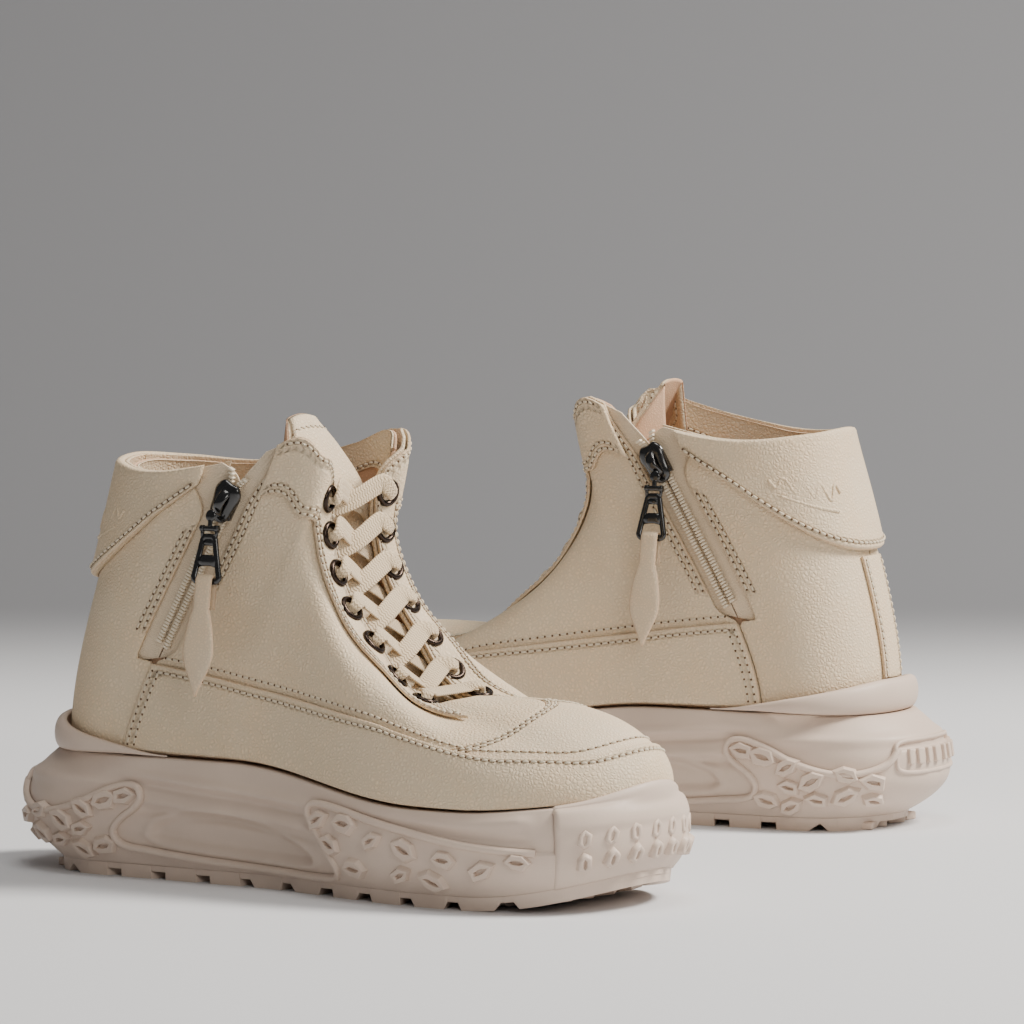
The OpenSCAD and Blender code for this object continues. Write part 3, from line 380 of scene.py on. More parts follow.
class Leather:
    """A cut panel of the upper: its grid, the distances across it, and its rounded edges."""

    def __init__(self, place, nu, nv, inner, outer, edge=0.5, puff=None, on=skin, loop=False):
        self.place, self.on, self.outer, self.inner, self.loop = place, on, outer, inner, loop
        a, b = np.linspace(0, 1, nu + 1), np.linspace(0, 1, nv + 1)
        A, B = np.meshgrid(a, b, indexing="ij")
        P = on(*place(A, B), np.full(A.shape, float(outer)))
        la = np.linalg.norm(np.diff(P, axis=0), axis=-1).sum(0).mean()
        lb = np.linalg.norm(np.diff(P, axis=1), axis=-1).sum(1).mean()
        self.a, da = self.rounded(a, edge / la, edge) if not loop else (a[:-1], np.zeros(nu))
        self.b, db = self.rounded(b, edge / lb, edge)
        A, B = np.meshgrid(self.a, self.b, indexing="ij")
        self.w, self.t = place(A, B)
        self.w, self.t = np.broadcast_arrays(self.w, self.t)
        drop = np.maximum(da[:, None], db[None, :])
        off = outer - drop
        if puff is not None:
            off = off + puff(A, B, self.w, self.t)
        self.top = on(self.w, self.t, off)
        self.low = on(self.w, self.t, np.full(A.shape, float(inner)))
        self.la = np.concatenate([np.zeros((1, len(self.b))),
            np.cumsum(np.linalg.norm(np.diff(self.top, axis=0), axis=-1), 0)])
        self.lb = np.concatenate([np.zeros((len(self.a), 1)),
            np.cumsum(np.linalg.norm(np.diff(self.top, axis=1), axis=-1), 1)], 1)

    @staticmethod
    def rounded(x, d, edge):
        x = x[(x > d * 1.6) & (x < 1 - d * 1.6)]
        near, drop = np.array([0, 0.29, 1.0]) * d, np.array([1, 0.29, 0]) * edge
        return np.concatenate([near, x, 1 - near[::-1]]), np.concatenate([drop, np.zeros(len(x)), drop[::-1]])

    def seam(self, edges):
        """For each point: how far along the nearest stitched edge, and how far from it."""
        far, along = np.full(self.top.shape[:2], 99.0), np.zeros(self.top.shape[:2])
        for e, cut in edges.items():
            d, l = {
                "a0": (self.la, self.lb), "a1": (self.la[-1:] - self.la, self.lb),
                "b0": (self.lb, self.la), "b1": (self.lb[:, -1:] - self.lb, self.la),
            }[e]
            end = l[:, -1:] if e[0] == "a" else l[-1:]
            d = np.where((l < cut[0] - 1) | (l > end - cut[1] + 1), 99.0, d)
            near = d < far
            far, along = np.where(near, d, far), np.where(near, l, along)
        return np.stack([along, far, np.zeros_like(far)], -1)

    def row(self, edge, d, cut=(0, 0)):
        """The line at a distance from one edge: its points and the leather's normals."""
        if edge[0] == "b":
            lengths = self.lb if edge == "b0" else self.lb[:, -1:] - self.lb
            b = [np.interp(d, l, self.b) if edge == "b0" else np.interp(d, l[::-1],
                self.b[::-1]) for l in lengths]
            a, b = self.a, np.array(b)
        else:
            lengths = (self.la if edge == "a0" else self.la[-1:] - self.la).T
            a = [np.interp(d, l, self.a) if edge == "a0" else np.interp(d, l[::-1],
                self.a[::-1]) for l in lengths]
            a, b = np.array(a), self.b
        w, t = self.place(a, b)
        w, t = np.broadcast_arrays(w, t)
        p = self.on(w, t, np.full(w.shape, float(self.outer)))
        q = self.on(w, t, np.full(w.shape, float(self.outer) + 1))
        return trimmed(p, unit(q - p), cut)

    def make(self, name, material, node=None, stitched={}, body="boot"):
        verts, faces = shell(self.top, self.low, self.loop)
        uv = np.stack([self.la, self.lb], -1).reshape(-1, 2) * 0.001
        seam = self.seam(stitched).reshape(-1, 3)
        hidden = seam.copy()
        hidden[:, 1] = 99
        return boot_piece(name, verts, faces, material, body, node,
                          np.concatenate([uv, uv]), np.concatenate([seam, hidden]))


def trimmed(p, n, cut):
    l = np.concatenate([[0], np.cumsum(np.linalg.norm(np.diff(p, axis=0), axis=-1))])
    keep = (l >= cut[0]) & (l <= l[-1] - cut[1])
    return p[keep], n[keep]


def resampled(p, n, step):
    l = np.concatenate([[0], np.cumsum(np.linalg.norm(np.diff(p, axis=0), axis=-1))])
    count = max(1, int(round(l[-1] / step)))
    at = np.linspace(0, l[-1], count + 1)
    q = np.stack([np.interp(at, l, p[:, k]) for k in range(3)], -1)
    m = np.stack([np.interp(at, l, n[:, k]) for k in range(3)], -1)
    return q, unit(m)


# Sewing thread: one plump stitch, copied along every row, and at each needle hole between them a dark disc
# painted as the hole's shade
STITCH = [(-0.5, 0.3, -0.9), (-0.42, 0.75, -0.1), (-0.14, 1.0, 0.32), (0.14, 1.0, 0.32),
    (0.42, 0.75, -0.1), (0.5, 0.3, -0.9)]
threads, hole_shade_discs = [], []


def sew(line, pitch=3.0, wide=0.5, high=0.42, fill=0.78, lift=0.0):
    p, n = resampled(line[0], line[1], pitch)
    for k in range(len(p) - 1):
        a, b = p[k], p[k + 1]
        long = b - a
        size = np.linalg.norm(long)
        if size < 0.5:
            continue
        x = long / size
        z = unit(n[k] + n[k + 1] - np.dot(n[k] + n[k + 1], x) * x)
        y = np.cross(z, x)
        mid = (a + b) / 2
        rings = []
        for (u, r, h) in STITCH:
            c = mid + x * u * size * fill + z * (high * h + 0.08 + lift)
            rings.append([c + wide * r * (y * math.cos(q)) + high * r * (z * math.sin(q))
                          for q in np.radians([0, 60, 120, 180, 240, 300])])
        threads.append(tube(rings))
    # painted shade: a dark disc lying on the leather at each needle hole
    for k in range(len(p)):
        x = unit(np.cross(n[k], [0.3, 0.2, 0.9]))
        y = np.cross(n[k], x)
        ring = [p[k] + 0.5 * (x * math.cos(q) + y * math.sin(q)) for q in np.radians(range(0, 360, 60))]
        low = [v - 0.25 * n[k] for v in ring]
        high_ring = [v + (0.035 + lift) * n[k] for v in ring]
        hole_shade_discs.append(tube([low, high_ring]))


# ---- Materials ----
def group(name, inputs, outputs):
    tree = bpy.data.node_groups.new(name, "ShaderNodeTree")
    for n, kind, value in inputs:
        s = tree.interface.new_socket(n, in_out="INPUT", socket_type=kind)
        if value is not None:
            s.default_value = value
    for n, kind in outputs:
        tree.interface.new_socket(n, in_out="OUTPUT", socket_type=kind)
    return tree, tree.nodes.new("NodeGroupInput"), tree.nodes.new("NodeGroupOutput")


class Nodes:
    """Short ways to add and join nodes in one tree."""

    def __init__(self, tree):
        self.tree = tree

    def add(self, kind, inputs=None, **settings):
        n = self.tree.nodes.new(kind)
        for k, v in settings.items():
            setattr(n, k, v)
        for k, v in (inputs or {}).items():
            self.put(v, n.inputs[k])
        return n

    def put(self, value, socket):
        if isinstance(value, bpy.types.NodeSocket):
            self.tree.links.new(value, socket)
        else:
            socket.default_value = value

    def math(self, op, a, b=0.0, c=0.0, clamp_it=False):
        n = self.add("ShaderNodeMath", operation=op, use_clamp=clamp_it)
        for i, v in enumerate((a, b, c)):
            self.put(v, n.inputs[i])
        return n.outputs[0]

    def ramp(self, value, low, high, out_low=0.0, out_high=1.0, smooth_step=True):
        n = self.add("ShaderNodeMapRange", interpolation_type="SMOOTHSTEP" if smooth_step else "LINEAR")
        for k, v in zip(("Value", "From Min", "From Max", "To Min", "To Max"),
            (value, low, high, out_low, out_high)):
            self.put(v, n.inputs[k])
        return n.outputs[0]

    def blend(self, factor, a, b):
        n = self.add("ShaderNodeMix", data_type="RGBA")
        self.put(factor, n.inputs[0])
        self.put(a, n.inputs[6])
        self.put(b, n.inputs[7])
        return n.outputs[2]


def grain_group():
    """Pebbled leather: small rounded cells, fine pores and slow waves, as one height, and the valleys between
    the cells on their own, which the leather darkens as painted shade.
    """
    tree, gin, gout = group("leather_grain", [
        ("Vector", "NodeSocketVector", None), ("Cell Size", "NodeSocketFloat", 0.0017),
            ("Stretch", "NodeSocketFloat", 1.0),
    ], [("Height", "NodeSocketFloat"), ("Pebble Valleys", "NodeSocketFloat")])
    n = Nodes(tree)
    warp = n.add("ShaderNodeTexNoise", {"Vector": gin.outputs["Vector"], "Scale": 260.0, "Detail": 2.0})
    shift = n.add("ShaderNodeVectorMath", operation="MULTIPLY_ADD")
    n.put(warp.outputs["Color"], shift.inputs[0])
    shift.inputs[1].default_value = (0.0013, 0.0013, 0.0013)
    n.put(gin.outputs["Vector"], shift.inputs[2])
    scale = n.math("DIVIDE", 1.0, gin.outputs["Cell Size"])
    cells = n.add("ShaderNodeTexVoronoi",
        {"Vector": shift.outputs[0], "Scale": scale, "Randomness": 1.0}, feature="DISTANCE_TO_EDGE")
    pebble = n.ramp(cells.outputs["Distance"], -0.04, 0.42)
    fine = n.add("ShaderNodeTexNoise",
        {"Vector": gin.outputs["Vector"], "Scale": 1500.0, "Detail": 3.0, "Roughness": 0.6})
    broad = n.add("ShaderNodeTexNoise", {"Vector": gin.outputs["Vector"], "Scale": 120.0, "Detail": 3.0})
    h = n.math("MULTIPLY_ADD", fine.outputs[0], 0.16, pebble)
    h = n.math("MULTIPLY_ADD", broad.outputs[0], 0.6, h)
    n.put(h, gout.inputs["Height"])
    # the valleys between the pebbles: painted shade in the colour, and rougher
    n.put(n.math("SUBTRACT", 1.0, pebble), gout.inputs["Pebble Valleys"])
    return tree


def seam_group():
    """The dip and the puckers that a row of stitches presses into leather, and a mask of the dip that the
    leather darkens as painted shade.
    """
    tree, gin, gout = group("sewn_dip", [
        ("Row 1", "NodeSocketFloat", 2.0), ("Row 2", "NodeSocketFloat", -9.0),
            ("Pitch", "NodeSocketFloat", 3.0),
    ], [("Height", "NodeSocketFloat"), ("Mask", "NodeSocketFloat"), ("Edge", "NodeSocketFloat")])
    n = Nodes(tree)
    at = n.add("ShaderNodeAttribute", attribute_name="seam")
    split = n.add("ShaderNodeSeparateXYZ", {0: at.outputs["Vector"]})
    along, far = split.outputs[0], split.outputs[1]
    dips = []
    for k in ("Row 1", "Row 2"):
        d = n.math("ABSOLUTE", n.math("SUBTRACT", far, gin.outputs[k]))
        dips.append(n.ramp(d, 0.15, 1.5, 1.0, 0.0))
    dip = n.math("MAXIMUM", dips[0], dips[1])
    turn = n.math("DIVIDE", n.math("MULTIPLY", along, 2 * math.pi), gin.outputs["Pitch"])
    pucker = n.math("MULTIPLY_ADD", n.math("COSINE", turn), 0.35, 0.65)
    n.put(n.math("MULTIPLY", dip, n.math("MULTIPLY", pucker, -1.0)), gout.inputs["Height"])
    n.put(dip, gout.inputs["Mask"])
    n.put(n.ramp(far, 0.0, 0.9, 1.0, 0.0), gout.inputs["Edge"])
    return tree


def weave_group():
    """A narrow woven band: chevron ribs across a cord or a tape, from its own UV in metres, and the valleys
    between the ribs, which the band darkens as painted shade.
    """
    tree, gin, gout = group("narrow_weave", [
        ("Rib", "NodeSocketFloat", 0.0011), ("Slant", "NodeSocketFloat", 0.35),
            ("Width", "NodeSocketFloat", 0.0074), ("Braids", "NodeSocketFloat", 4.0),
    ], [("Height", "NodeSocketFloat"), ("Valley", "NodeSocketFloat")])
    n = Nodes(tree)
    uv = n.add("ShaderNodeUVMap", uv_map="UVMap")
    split = n.add("ShaderNodeSeparateXYZ", {0: uv.outputs[0]})
    along, across = split.outputs[0], split.outputs[1]
    lanes = n.math("MULTIPLY", n.math("DIVIDE", across, gin.outputs["Width"]), gin.outputs["Braids"])
    lane = n.math("PINGPONG", lanes, 1.0)
    slanted = n.math("MULTIPLY_ADD", n.math("MULTIPLY", lane, gin.outputs["Slant"]), gin.outputs["Rib"],
        along)
    wave = n.math("SINE", n.math("DIVIDE", n.math("MULTIPLY", slanted, 2 * math.pi), gin.outputs["Rib"]))
    rib = n.math("MULTIPLY_ADD", wave, 0.5, 0.5)
    groove = n.ramp(n.math("ABSOLUTE", n.math("SUBTRACT", lane, 0.5)), 0.3, 0.5, 1.0, 0.55)
    n.put(n.math("MULTIPLY", rib, groove), gout.inputs["Height"])
    n.put(n.math("SUBTRACT", 1.0, n.math("MULTIPLY", rib, groove)), gout.inputs["Valley"])
    return tree


GRAIN, SEWN, WEAVE = grain_group(), seam_group(), weave_group()


def blank(name):
    m = bpy.data.materials.new(name)
    m.use_nodes = True
    tree = m.node_tree
    shader = next(x for x in tree.nodes if x.type == "BSDF_PRINCIPLED")
    return m, Nodes(tree), shader


def linear(r, g, b):
    return tuple(((c / 255) / 12.92 if c <= 10 else ((c / 255 + 0.055) / 1.055) ** 2.4) for c in (r, g,
        b)) + (1.0,)


def leather(name, color, rows=(2.0, -9.0), cell=0.0015, depth=0.0002, rough=0.48, shine=0.4, wrinkle=0.0):
    m, n, shader = blank(name)
    place = n.add("ShaderNodeTexCoord")
    g = n.add("ShaderNodeGroup", node_tree=GRAIN)
    n.put(place.outputs["Object"], g.inputs["Vector"])
    g.inputs["Cell Size"].default_value = cell
    s = n.add("ShaderNodeGroup", node_tree=SEWN)
    s.inputs["Row 1"].default_value, s.inputs["Row 2"].default_value = rows
    mottle = n.add("ShaderNodeTexNoise",
        {"Vector": place.outputs["Object"], "Scale": 38.0, "Detail": 4.0, "Roughness": 0.6})
    base = linear(*color)
    valley_shade_color = tuple(c * 0.74 for c in base[:3]) + (1,)
    warmer = (base[0] * 1.03, base[1] * 0.97, base[2] * 0.90, 1)
    col = n.blend(n.ramp(mottle.outputs[0], 0.35, 0.7), base, warmer)
    # painted shade: the valleys between the pebbles are darkened in the colour
    col = n.blend(n.math("MULTIPLY", g.outputs["Pebble Valleys"], 0.55), col, valley_shade_color)
    # painted shade: the leather is darkened along the dip of each stitched row
    col = n.blend(n.math("MULTIPLY", s.outputs["Mask"], 0.35), col, tuple(c * 0.62 for c in base[:3]) + (1,))
    col = n.blend(n.math("MULTIPLY", s.outputs["Edge"], 0.6), col, linear(204, 168, 134))
    n.put(col, shader.inputs["Base Color"])
    n.put(n.math("MULTIPLY_ADD", g.outputs["Pebble Valleys"], 0.28, rough), shader.inputs["Roughness"])
    grain = n.add("ShaderNodeBump", {"Height": g.outputs["Height"], "Distance": depth, "Strength": 1.0})
    dip = n.add("ShaderNodeBump",
        {"Height": s.outputs["Height"], "Distance": 0.0009, "Strength": 0.9, "Normal": grain.outputs[0]})
    last = dip.outputs[0]
    if wrinkle:
        slow = n.add("ShaderNodeTexNoise",
            {"Vector": place.outputs["Object"], "Scale": 60.0, "Detail": 3.0, "Distortion": 0.6})
        fold = n.add("ShaderNodeBump",
            {"Height": slow.outputs[0], "Distance": wrinkle, "Strength": 1.0, "Normal": last})
        last = fold.outputs[0]
    n.put(last, shader.inputs["Normal"])
    shader.inputs["Specular IOR Level"].default_value = shine
    shader.inputs["Subsurface Weight"].default_value = 0.04
    shader.inputs["Subsurface Radius"].default_value = (0.002, 0.001, 0.0006)
    return m


def woven(name, color, rib, slant, width, braids, depth=0.00028, rough=0.8, valley_shade=0.75):
    m, n, shader = blank(name)
    place = n.add("ShaderNodeTexCoord")
    g = n.add("ShaderNodeGroup", node_tree=WEAVE)
    for k, v in (("Rib", rib), ("Slant", slant), ("Width", width), ("Braids", braids)):
        g.inputs[k].default_value = v
    fuzz = n.add("ShaderNodeTexNoise", {"Vector": place.outputs["Object"], "Scale": 2600.0, "Detail": 3.0})
    base = linear(*color)
    # painted shade: the valleys of the weave are darkened towards half the base colour
    col = n.blend(n.math("MULTIPLY", g.outputs["Valley"], valley_shade), base,
        tuple(c * 0.5 for c in base[:3]) + (1,))
    col = n.blend(n.math("MULTIPLY", fuzz.outputs[0], 0.3), col, tuple(c * 0.8 for c in base[:3]) + (1,))
    n.put(col, shader.inputs["Base Color"])
    shader.inputs["Roughness"].default_value = rough
    shader.inputs["Sheen Weight"].default_value = 0.25
    b = n.add("ShaderNodeBump", {"Height": g.outputs["Height"], "Distance": depth})
    c = n.add("ShaderNodeBump", {"Height": fuzz.outputs[0], "Distance": 0.00008, "Normal": b.outputs[0]})
    n.put(c.outputs[0], shader.inputs["Normal"])
    return m


def moulded(name, color, rough=0.55, speck=0.00006, shine=0.4, metal=0.0, coat=0.0, scale=900.0):
    m, n, shader = blank(name)
    place = n.add("ShaderNodeTexCoord")
    fine = n.add("ShaderNodeTexNoise",
        {"Vector": place.outputs["Object"], "Scale": scale, "Detail": 4.0, "Roughness": 0.65})
    broad = n.add("ShaderNodeTexNoise", {"Vector": place.outputs["Object"], "Scale": 24.0, "Detail": 3.0})
    base = linear(*color)
    col = n.blend(n.ramp(broad.outputs[0], 0.35, 0.7), base, tuple(c * 0.9 for c in base[:3]) + (1,))
    col = n.blend(n.math("MULTIPLY", fine.outputs[0], 0.18), col, tuple(c * 0.75 for c in base[:3]) + (1,))
    n.put(col, shader.inputs["Base Color"])
    n.put(n.ramp(fine.outputs[0], 0.3, 0.7, rough - 0.06, rough + 0.08), shader.inputs["Roughness"])
    b = n.add("ShaderNodeBump", {"Height": fine.outputs[0], "Distance": speck})
    n.put(b.outputs[0], shader.inputs["Normal"])
    shader.inputs["Specular IOR Level"].default_value = shine
    shader.inputs["Metallic"].default_value = metal
    shader.inputs["Coat Weight"].default_value = coat
    shader.inputs["Coat Roughness"].default_value = 0.08
    return m


CREAM = (226, 206, 176)
hide = leather("cream_leather", CREAM, (2.0, -9.0))
hide_double = leather("cream_leather_double_row", CREAM, (2.0, 5.2))
hide_rand = leather("cream_leather_rand", CREAM, (3.0, -9.0))
hide_vamp = leather("cream_leather_toe", (230, 210, 181), (1.8, 4.8), cell=0.0013, depth=0.00013, rough=0.45)
hide_stay = leather("cream_leather_facing", CREAM, (1.6, 4.2), cell=0.0015, depth=0.00018)
hide_cuff = leather("cream_leather_collar", (222, 202, 172), (3.0, -9.0), cell=0.0015, depth=0.00018,
    wrinkle=0.0006)
lining_mat = leather("peach_lining", (216, 180, 150), (-9.0, -9.0), cell=0.0009, depth=0.00006,
    rough=0.62, shine=0.2)
raw_mat = leather("tab_leather", (224, 204, 176), (-9.0, -9.0), cell=0.0012, depth=0.0001)
sole_mat = moulded("sole_rubber", (212, 192, 176), rough=0.5, speck=0.00003, shine=0.4)
board_mat = moulded("fibre_board", (150, 118, 92), rough=0.85, scale=400.0)
stiff_mat = moulded("stiffener_sheet", (190, 172, 140), rough=0.7)
bronze = moulded("dark_bronze", (62, 52, 46), rough=0.26, metal=1.0, speck=0.00002, scale=500.0)
black_mat = moulded("gloss_black", (14, 14, 15), rough=0.2, speck=0.00001, coat=0.6, shine=0.6, scale=300.0)
lace_mat = woven("woven_lace", (230, 206, 170), 0.0013, 0.5, 0.0074, 6.0, depth=0.0003, valley_shade=0.6)
tape_mat = woven("zip_tape_weave", (226, 206, 178), 0.0012, 0.9, 0.012, 8.0, depth=0.0001, valley_shade=0.2)
teeth_mat = moulded("zip_teeth_nylon", (232, 218, 194), rough=0.35, speck=0.00001)
thread_mat = woven("sewing_thread", (238, 222, 194), 0.0006, 0.4, 0.001, 2.0, depth=0.00006)
# painted shade: the dark brown of the needle-hole discs
hole_shade_mat = moulded("needle_hole_shade", (104, 80, 60), rough=0.9)
tip_mat = moulded("lace_tip", (226, 214, 192), rough=0.3, coat=0.4)

# ---- Leather upper ----
SEAM = 0.0012
HEM, VAMP_TOP = 0.01, 0.8


def vamp_seam(t):
    return mix(0.66, 1.0, smooth(0.12, 0.84, t))


def panel_row(b):
    return np.where(b < 0.75, mix(HEM, VAMP_TOP, b / 0.75), mix(VAMP_TOP, 1.0, (b - 0.75) / 0.25))


SPREAD = 8.0


def zip_half(w, t):
    wide = mix(0.3, ZIP_WINDOW, smooth(ZIP_LOW, ZIP_LOW + 0.035, t)) / 2 + SPREAD * smooth(0.8, 1.0, t)
    return np.where(t > ZIP_LOW, wide, 0.15) / w_speed(w, t)


ZIP_W = -(1 - ZIP_S)


def vamp_place(a, b):
    t = mix(HEM, VAMP_TOP, b)
    reach = 1 - vamp_seam(t) - SEAM
    return mix(-reach, reach, a), t


def medial_place(a, b):
    t = panel_row(b)
    start = ZIP_S + zip_half(np.full(t.shape, ZIP_W), t)
    return -1 + share_at(start, np.minimum(vamp_seam(t), 0.9985), a), t


def rear_place(a, b):
    t = panel_row(b)
    return -1 + mix(0.0012, ZIP_S - zip_half(np.full(t.shape, ZIP_W), t), a), t


def lateral_place(a, b):
    t = panel_row(b)
    return 1 - share_at(np.minimum(vamp_seam(t), 0.9985), 0.0012, a), t


def rand_z(s):
    back = mix(79, 65, clamp((s - ZIP_S) / 0.42))
    return mix(back, 53, smooth(0.58, 0.8, s)) + 4 * smooth(0.88, 1.0, s)


def rand_place(a, b):
    w = np.where(a < 0.5, -1 + share_at(ZIP_S, 1, 2 * a), 1 - share_at(ZIP_S, 1, 2 - 2 * a))
    top = t_at(w[:, :1] if w.ndim == 2 else w, rand_z(share(w[:, :1] if w.ndim == 2 else w)))
    return w, mix(HEM + 0.005, top, b)


def stay_width(s):
    return mix(23, 26, smooth(0.72, 0.86, s))


def stay_place(g):
    def place(a, b):
        s = share_at(0.2, 0.87, a if g < 0 else 1 - a)
        w = g * (1 - s)
        return w, mix(1 - stay_width(s) / rib_length(w), 0.998, b)
    return place


def strip_place(a, b):
    top = float(t_at(1.0, 104.0, 0.0, 0.9))
    t = mix(0.135, top, b)
    reach = 8 / w_speed(np.ones_like(t), t)
    return mix(1 - reach, 1 + reach, a), t


def cuff_place(a, b):
    w = mix(1 - 0.19, 1 + 0.16, a)
    u = np.where(w > 1, (w - 1) / 0.16, (1 - w) / 0.19)
    low = t_at(w[:, :1] if w.ndim == 2 else w, 106.0, 0.0, 1.0)
    return w, mix(mix(low, 0.93, clamp(u) ** 2.6), 1, b)


def lining_place(a, b):
    w = round_at(a)
    throat = smooth(0.33, 0.385, share(w)) * (1 - smooth(0.9, 0.97, share(w)))
    notch = np.where(w < 0, 16 * (1 - smooth(0.006, 0.018, np.abs(share(w) - ZIP_S))), 0)
    return w, mix(0.004, 0.99 - (throat * 23 + notch) / rib_length(w), b)


vamp = Leather(vamp_place, 70, 34, 0, PANEL)
medial = Leather(medial_place, 72, 64, 0, PANEL)
rear = Leather(rear_place, 30, 60, 0, PANEL)
lateral = Leather(lateral_place, 80, 64, 0, PANEL)
rand = Leather(rand_place, 200, 14, OVER_IN, OVER_OUT)
stays = {"medial": Leather(stay_place(-1), 90, 12, STAY_IN, STAY_OUT),
    "lateral": Leather(stay_place(1), 90, 12, STAY_IN, STAY_OUT)}
strip = Leather(strip_place, 8, 30, OVER_IN, OVER_OUT)
cuff = Leather(cuff_place, 90, 30, OVER_IN, OVER_IN + 3.4, edge=1.2,
               puff=lambda a, b, w,
                   t: 0.5 * np.sin(a * 17 + b * 2) * np.sin(b * math.pi) * smooth(0, 0.2, b) - 0.2)

vamp.make("vamp_leather", hide_vamp, "vamp", {"a0": (14, 1), "a1": (14, 1)})
medial.make("quarter_medial_leather", hide_double, "quarter_medial", {"a0": (52, 1), "b1": (1, 118)})
rear.make("quarter_rear_leather", hide_double, "quarter_rear", {"a1": (52, 24)})
lateral.make("quarter_lateral_leather", hide, "quarter_lateral")
rand.make("rand_leather", hide_rand, "rand", {"b1": (2, 2), "a0": (2, 1), "a1": (2, 1)})
for side_name, stay in stays.items():
    stay.make("eyestay_" + side_name + "_leather", hide_stay, "eyestay_" + side_name,
        {"b0": (2, 2), "b1": (3, 3)})
strip.make("back_strip_leather", hide, "back_strip", {"a0": (1, 1), "a1": (1, 1)})
collars = cuff.make("collar_leather", hide_cuff, "cuff", {"b0": (1, 3)})
lining = Leather(lining_place, 400, 40, LINING_OUT - 1.2, LINING_OUT, edge=0.4, loop=True)
lining.make("lining_leather", lining_mat, "lining")

for d in (1.8, 4.8):
    for e in ("a0", "a1"):
        sew(vamp.row(e, d, (14, 1)), pitch=2.7)
for d in (2.0, 5.2):
    sew(medial.row("a0", d, (52, 1)))
    sew(rear.row("a1", d, (52, 24)))
sew(medial.row("b1", 2.2, (1, 118)), pitch=2.8)
sew(rand.row("b1", 3.0, (2, 2)), lift=0.0)
for d in (2.0, 5.0):
    sew(rand.row("a0", d, (2, 1)))
    sew(rand.row("a1", d, (2, 1)))
for stay in stays.values():
    for d in (1.6, 4.2):
        sew(stay.row("b0", d, (2, 2)), pitch=2.7)
        sew(stay.row("a1" if stay is stays["medial"] else "a0", d, (2, 2)), pitch=2.7)
    sew(stay.row("b1", 1.8, (3, 3)), pitch=2.7)
for e in ("a0", "a1"):
    sew(strip.row(e, 1.6, (1, 1)), pitch=2.8)
sew(cuff.row("b0", 3.0, (1, 3)), pitch=3.0)


def binding_place(a, b):
    w = mix(1 - 0.32, 1 + 0.168, a)
    return w, mix(0.985 - 15 / rib_length(w), 0.99, b)


binding = Leather(binding_place, 120, 10, LINING_OUT - 1.4, LINING_OUT - 2.1, edge=0.25)
binding.make("mouth_binding", hide, stitched={"b0": (2, 2)})


def lining_row(g, d):
    """The row that shows inside the mouth of the boot, along the top of the lining."""
    s = np.linspace(0.165 if g < 0 else 0.02, 0.33, 160)
    w = g * (1 - s)
    t = 0.985 - d / rib_length(w)
    p, q = skin(w, t, np.full(s.shape, LINING_OUT - 2.1)), skin(w, t, np.full(s.shape, LINING_OUT - 3.1))
    return p, unit(q - p)


sew(lining_row(1, 13.0), pitch=2.8)


def above_rand(g):
    """The row on the leather just above the rand's edge."""
    s = np.linspace(0.19, 0.999, 260)
    w = g * (1 - s)
    t = t_at(w, rand_z(s) + 2.6)
    p, q = skin(w, t, PANEL), skin(w, t, PANEL + 1.0)
    return p, unit(q - p)


for g in (-1, 1):
    sew(above_rand(g))

# ---- Tongue ----
TONGUE_DROP = 6.8


def tongue_rest(a, s, o):
    u = clamp((np.abs(a) - 0.36) / 0.64)
    g = np.where(a < 0, -1.0, 1.0)
    w = g * (1 - s)
    o = np.full(w.shape, 1.0) * o - TONGUE_DROP
    edge, other = skin(w, 0.995 + 0 * w, o), skin(-w, 0.995 + 0 * w, o)
    under = skin(w, 0.995 - u * 13 / rib_length(w), o)
    k = ((0.36 - np.abs(a)) / 0.72)[..., None]
    return np.where((np.abs(a) > 0.36)[..., None], under, edge + (other - edge) * k)


def tongue_at(a, b, o):
    rest = tongue_rest(a, np.where(b < 0.7, mix(0.955, 0.42, b / 0.7), 0.42), o)
    up = clamp((b - 0.7) / 0.3)[..., None]
    middle = tongue_rest(0 * a, np.where(b < 0.7, mix(0.955, 0.42, b / 0.7), 0.42), o)
    rest = rest + (middle - rest) * np.array([0.0, 0.55, 0.0]) * up**1.5
    return rest + np.array([-13.0, 0, 25.0]) * up - np.array([1.5, 0, 11.0]) * up**2 * (a**2)[..., None]


def tongue_grid(o, puff=0.0):
    A, B = np.meshgrid(np.linspace(-1, 1, 33), np.linspace(0, 1, 61), indexing="ij")
    pillow = puff * (1 - A**4) * np.minimum(1, np.minimum(B, 1 - B) * 12)
    p = tongue_at(A, B, o + pillow)
    for _ in range(3):
        p[1:-1, 1:-1] = 0.5 * p[1:-1,
            1:-1] + 0.125 * (p[2:, 1:-1] + p[:-2, 1:-1] + p[1:-1, 2:] + p[1:-1, :-2])
    return p


tongue_top, tongue_low = tongue_grid(-0.5, 0.7), tongue_grid(-2.3, -0.4)
verts, faces = shell(tongue_top, tongue_low)
tongues = boot_piece("tongue_leather", verts, faces, hide, node="tongue",
    seam=np.tile([0, 99.0, 0], (len(verts), 1)))
backing_verts, backing_faces = shell(tongue_grid(-2.35, -0.4), tongue_grid(-2.9, -0.4))
boot_piece("tongue_backing", backing_verts, backing_faces, lining_mat,
    seam=np.tile([0, 99.0, 0], (len(backing_verts), 1)))
edge_line = np.concatenate([tongue_top[3, 44:57], tongue_top[3:-3, 57], tongue_top[-4, 56:43:-1]])
edge_up = unit(np.concatenate([(tongue_top - tongue_low)[3, 44:57], (tongue_top - tongue_low)[3:-3, 57],
    (tongue_top - tongue_low)[-4, 56:43:-1]]))
sew((edge_line, edge_up), pitch=2.8)

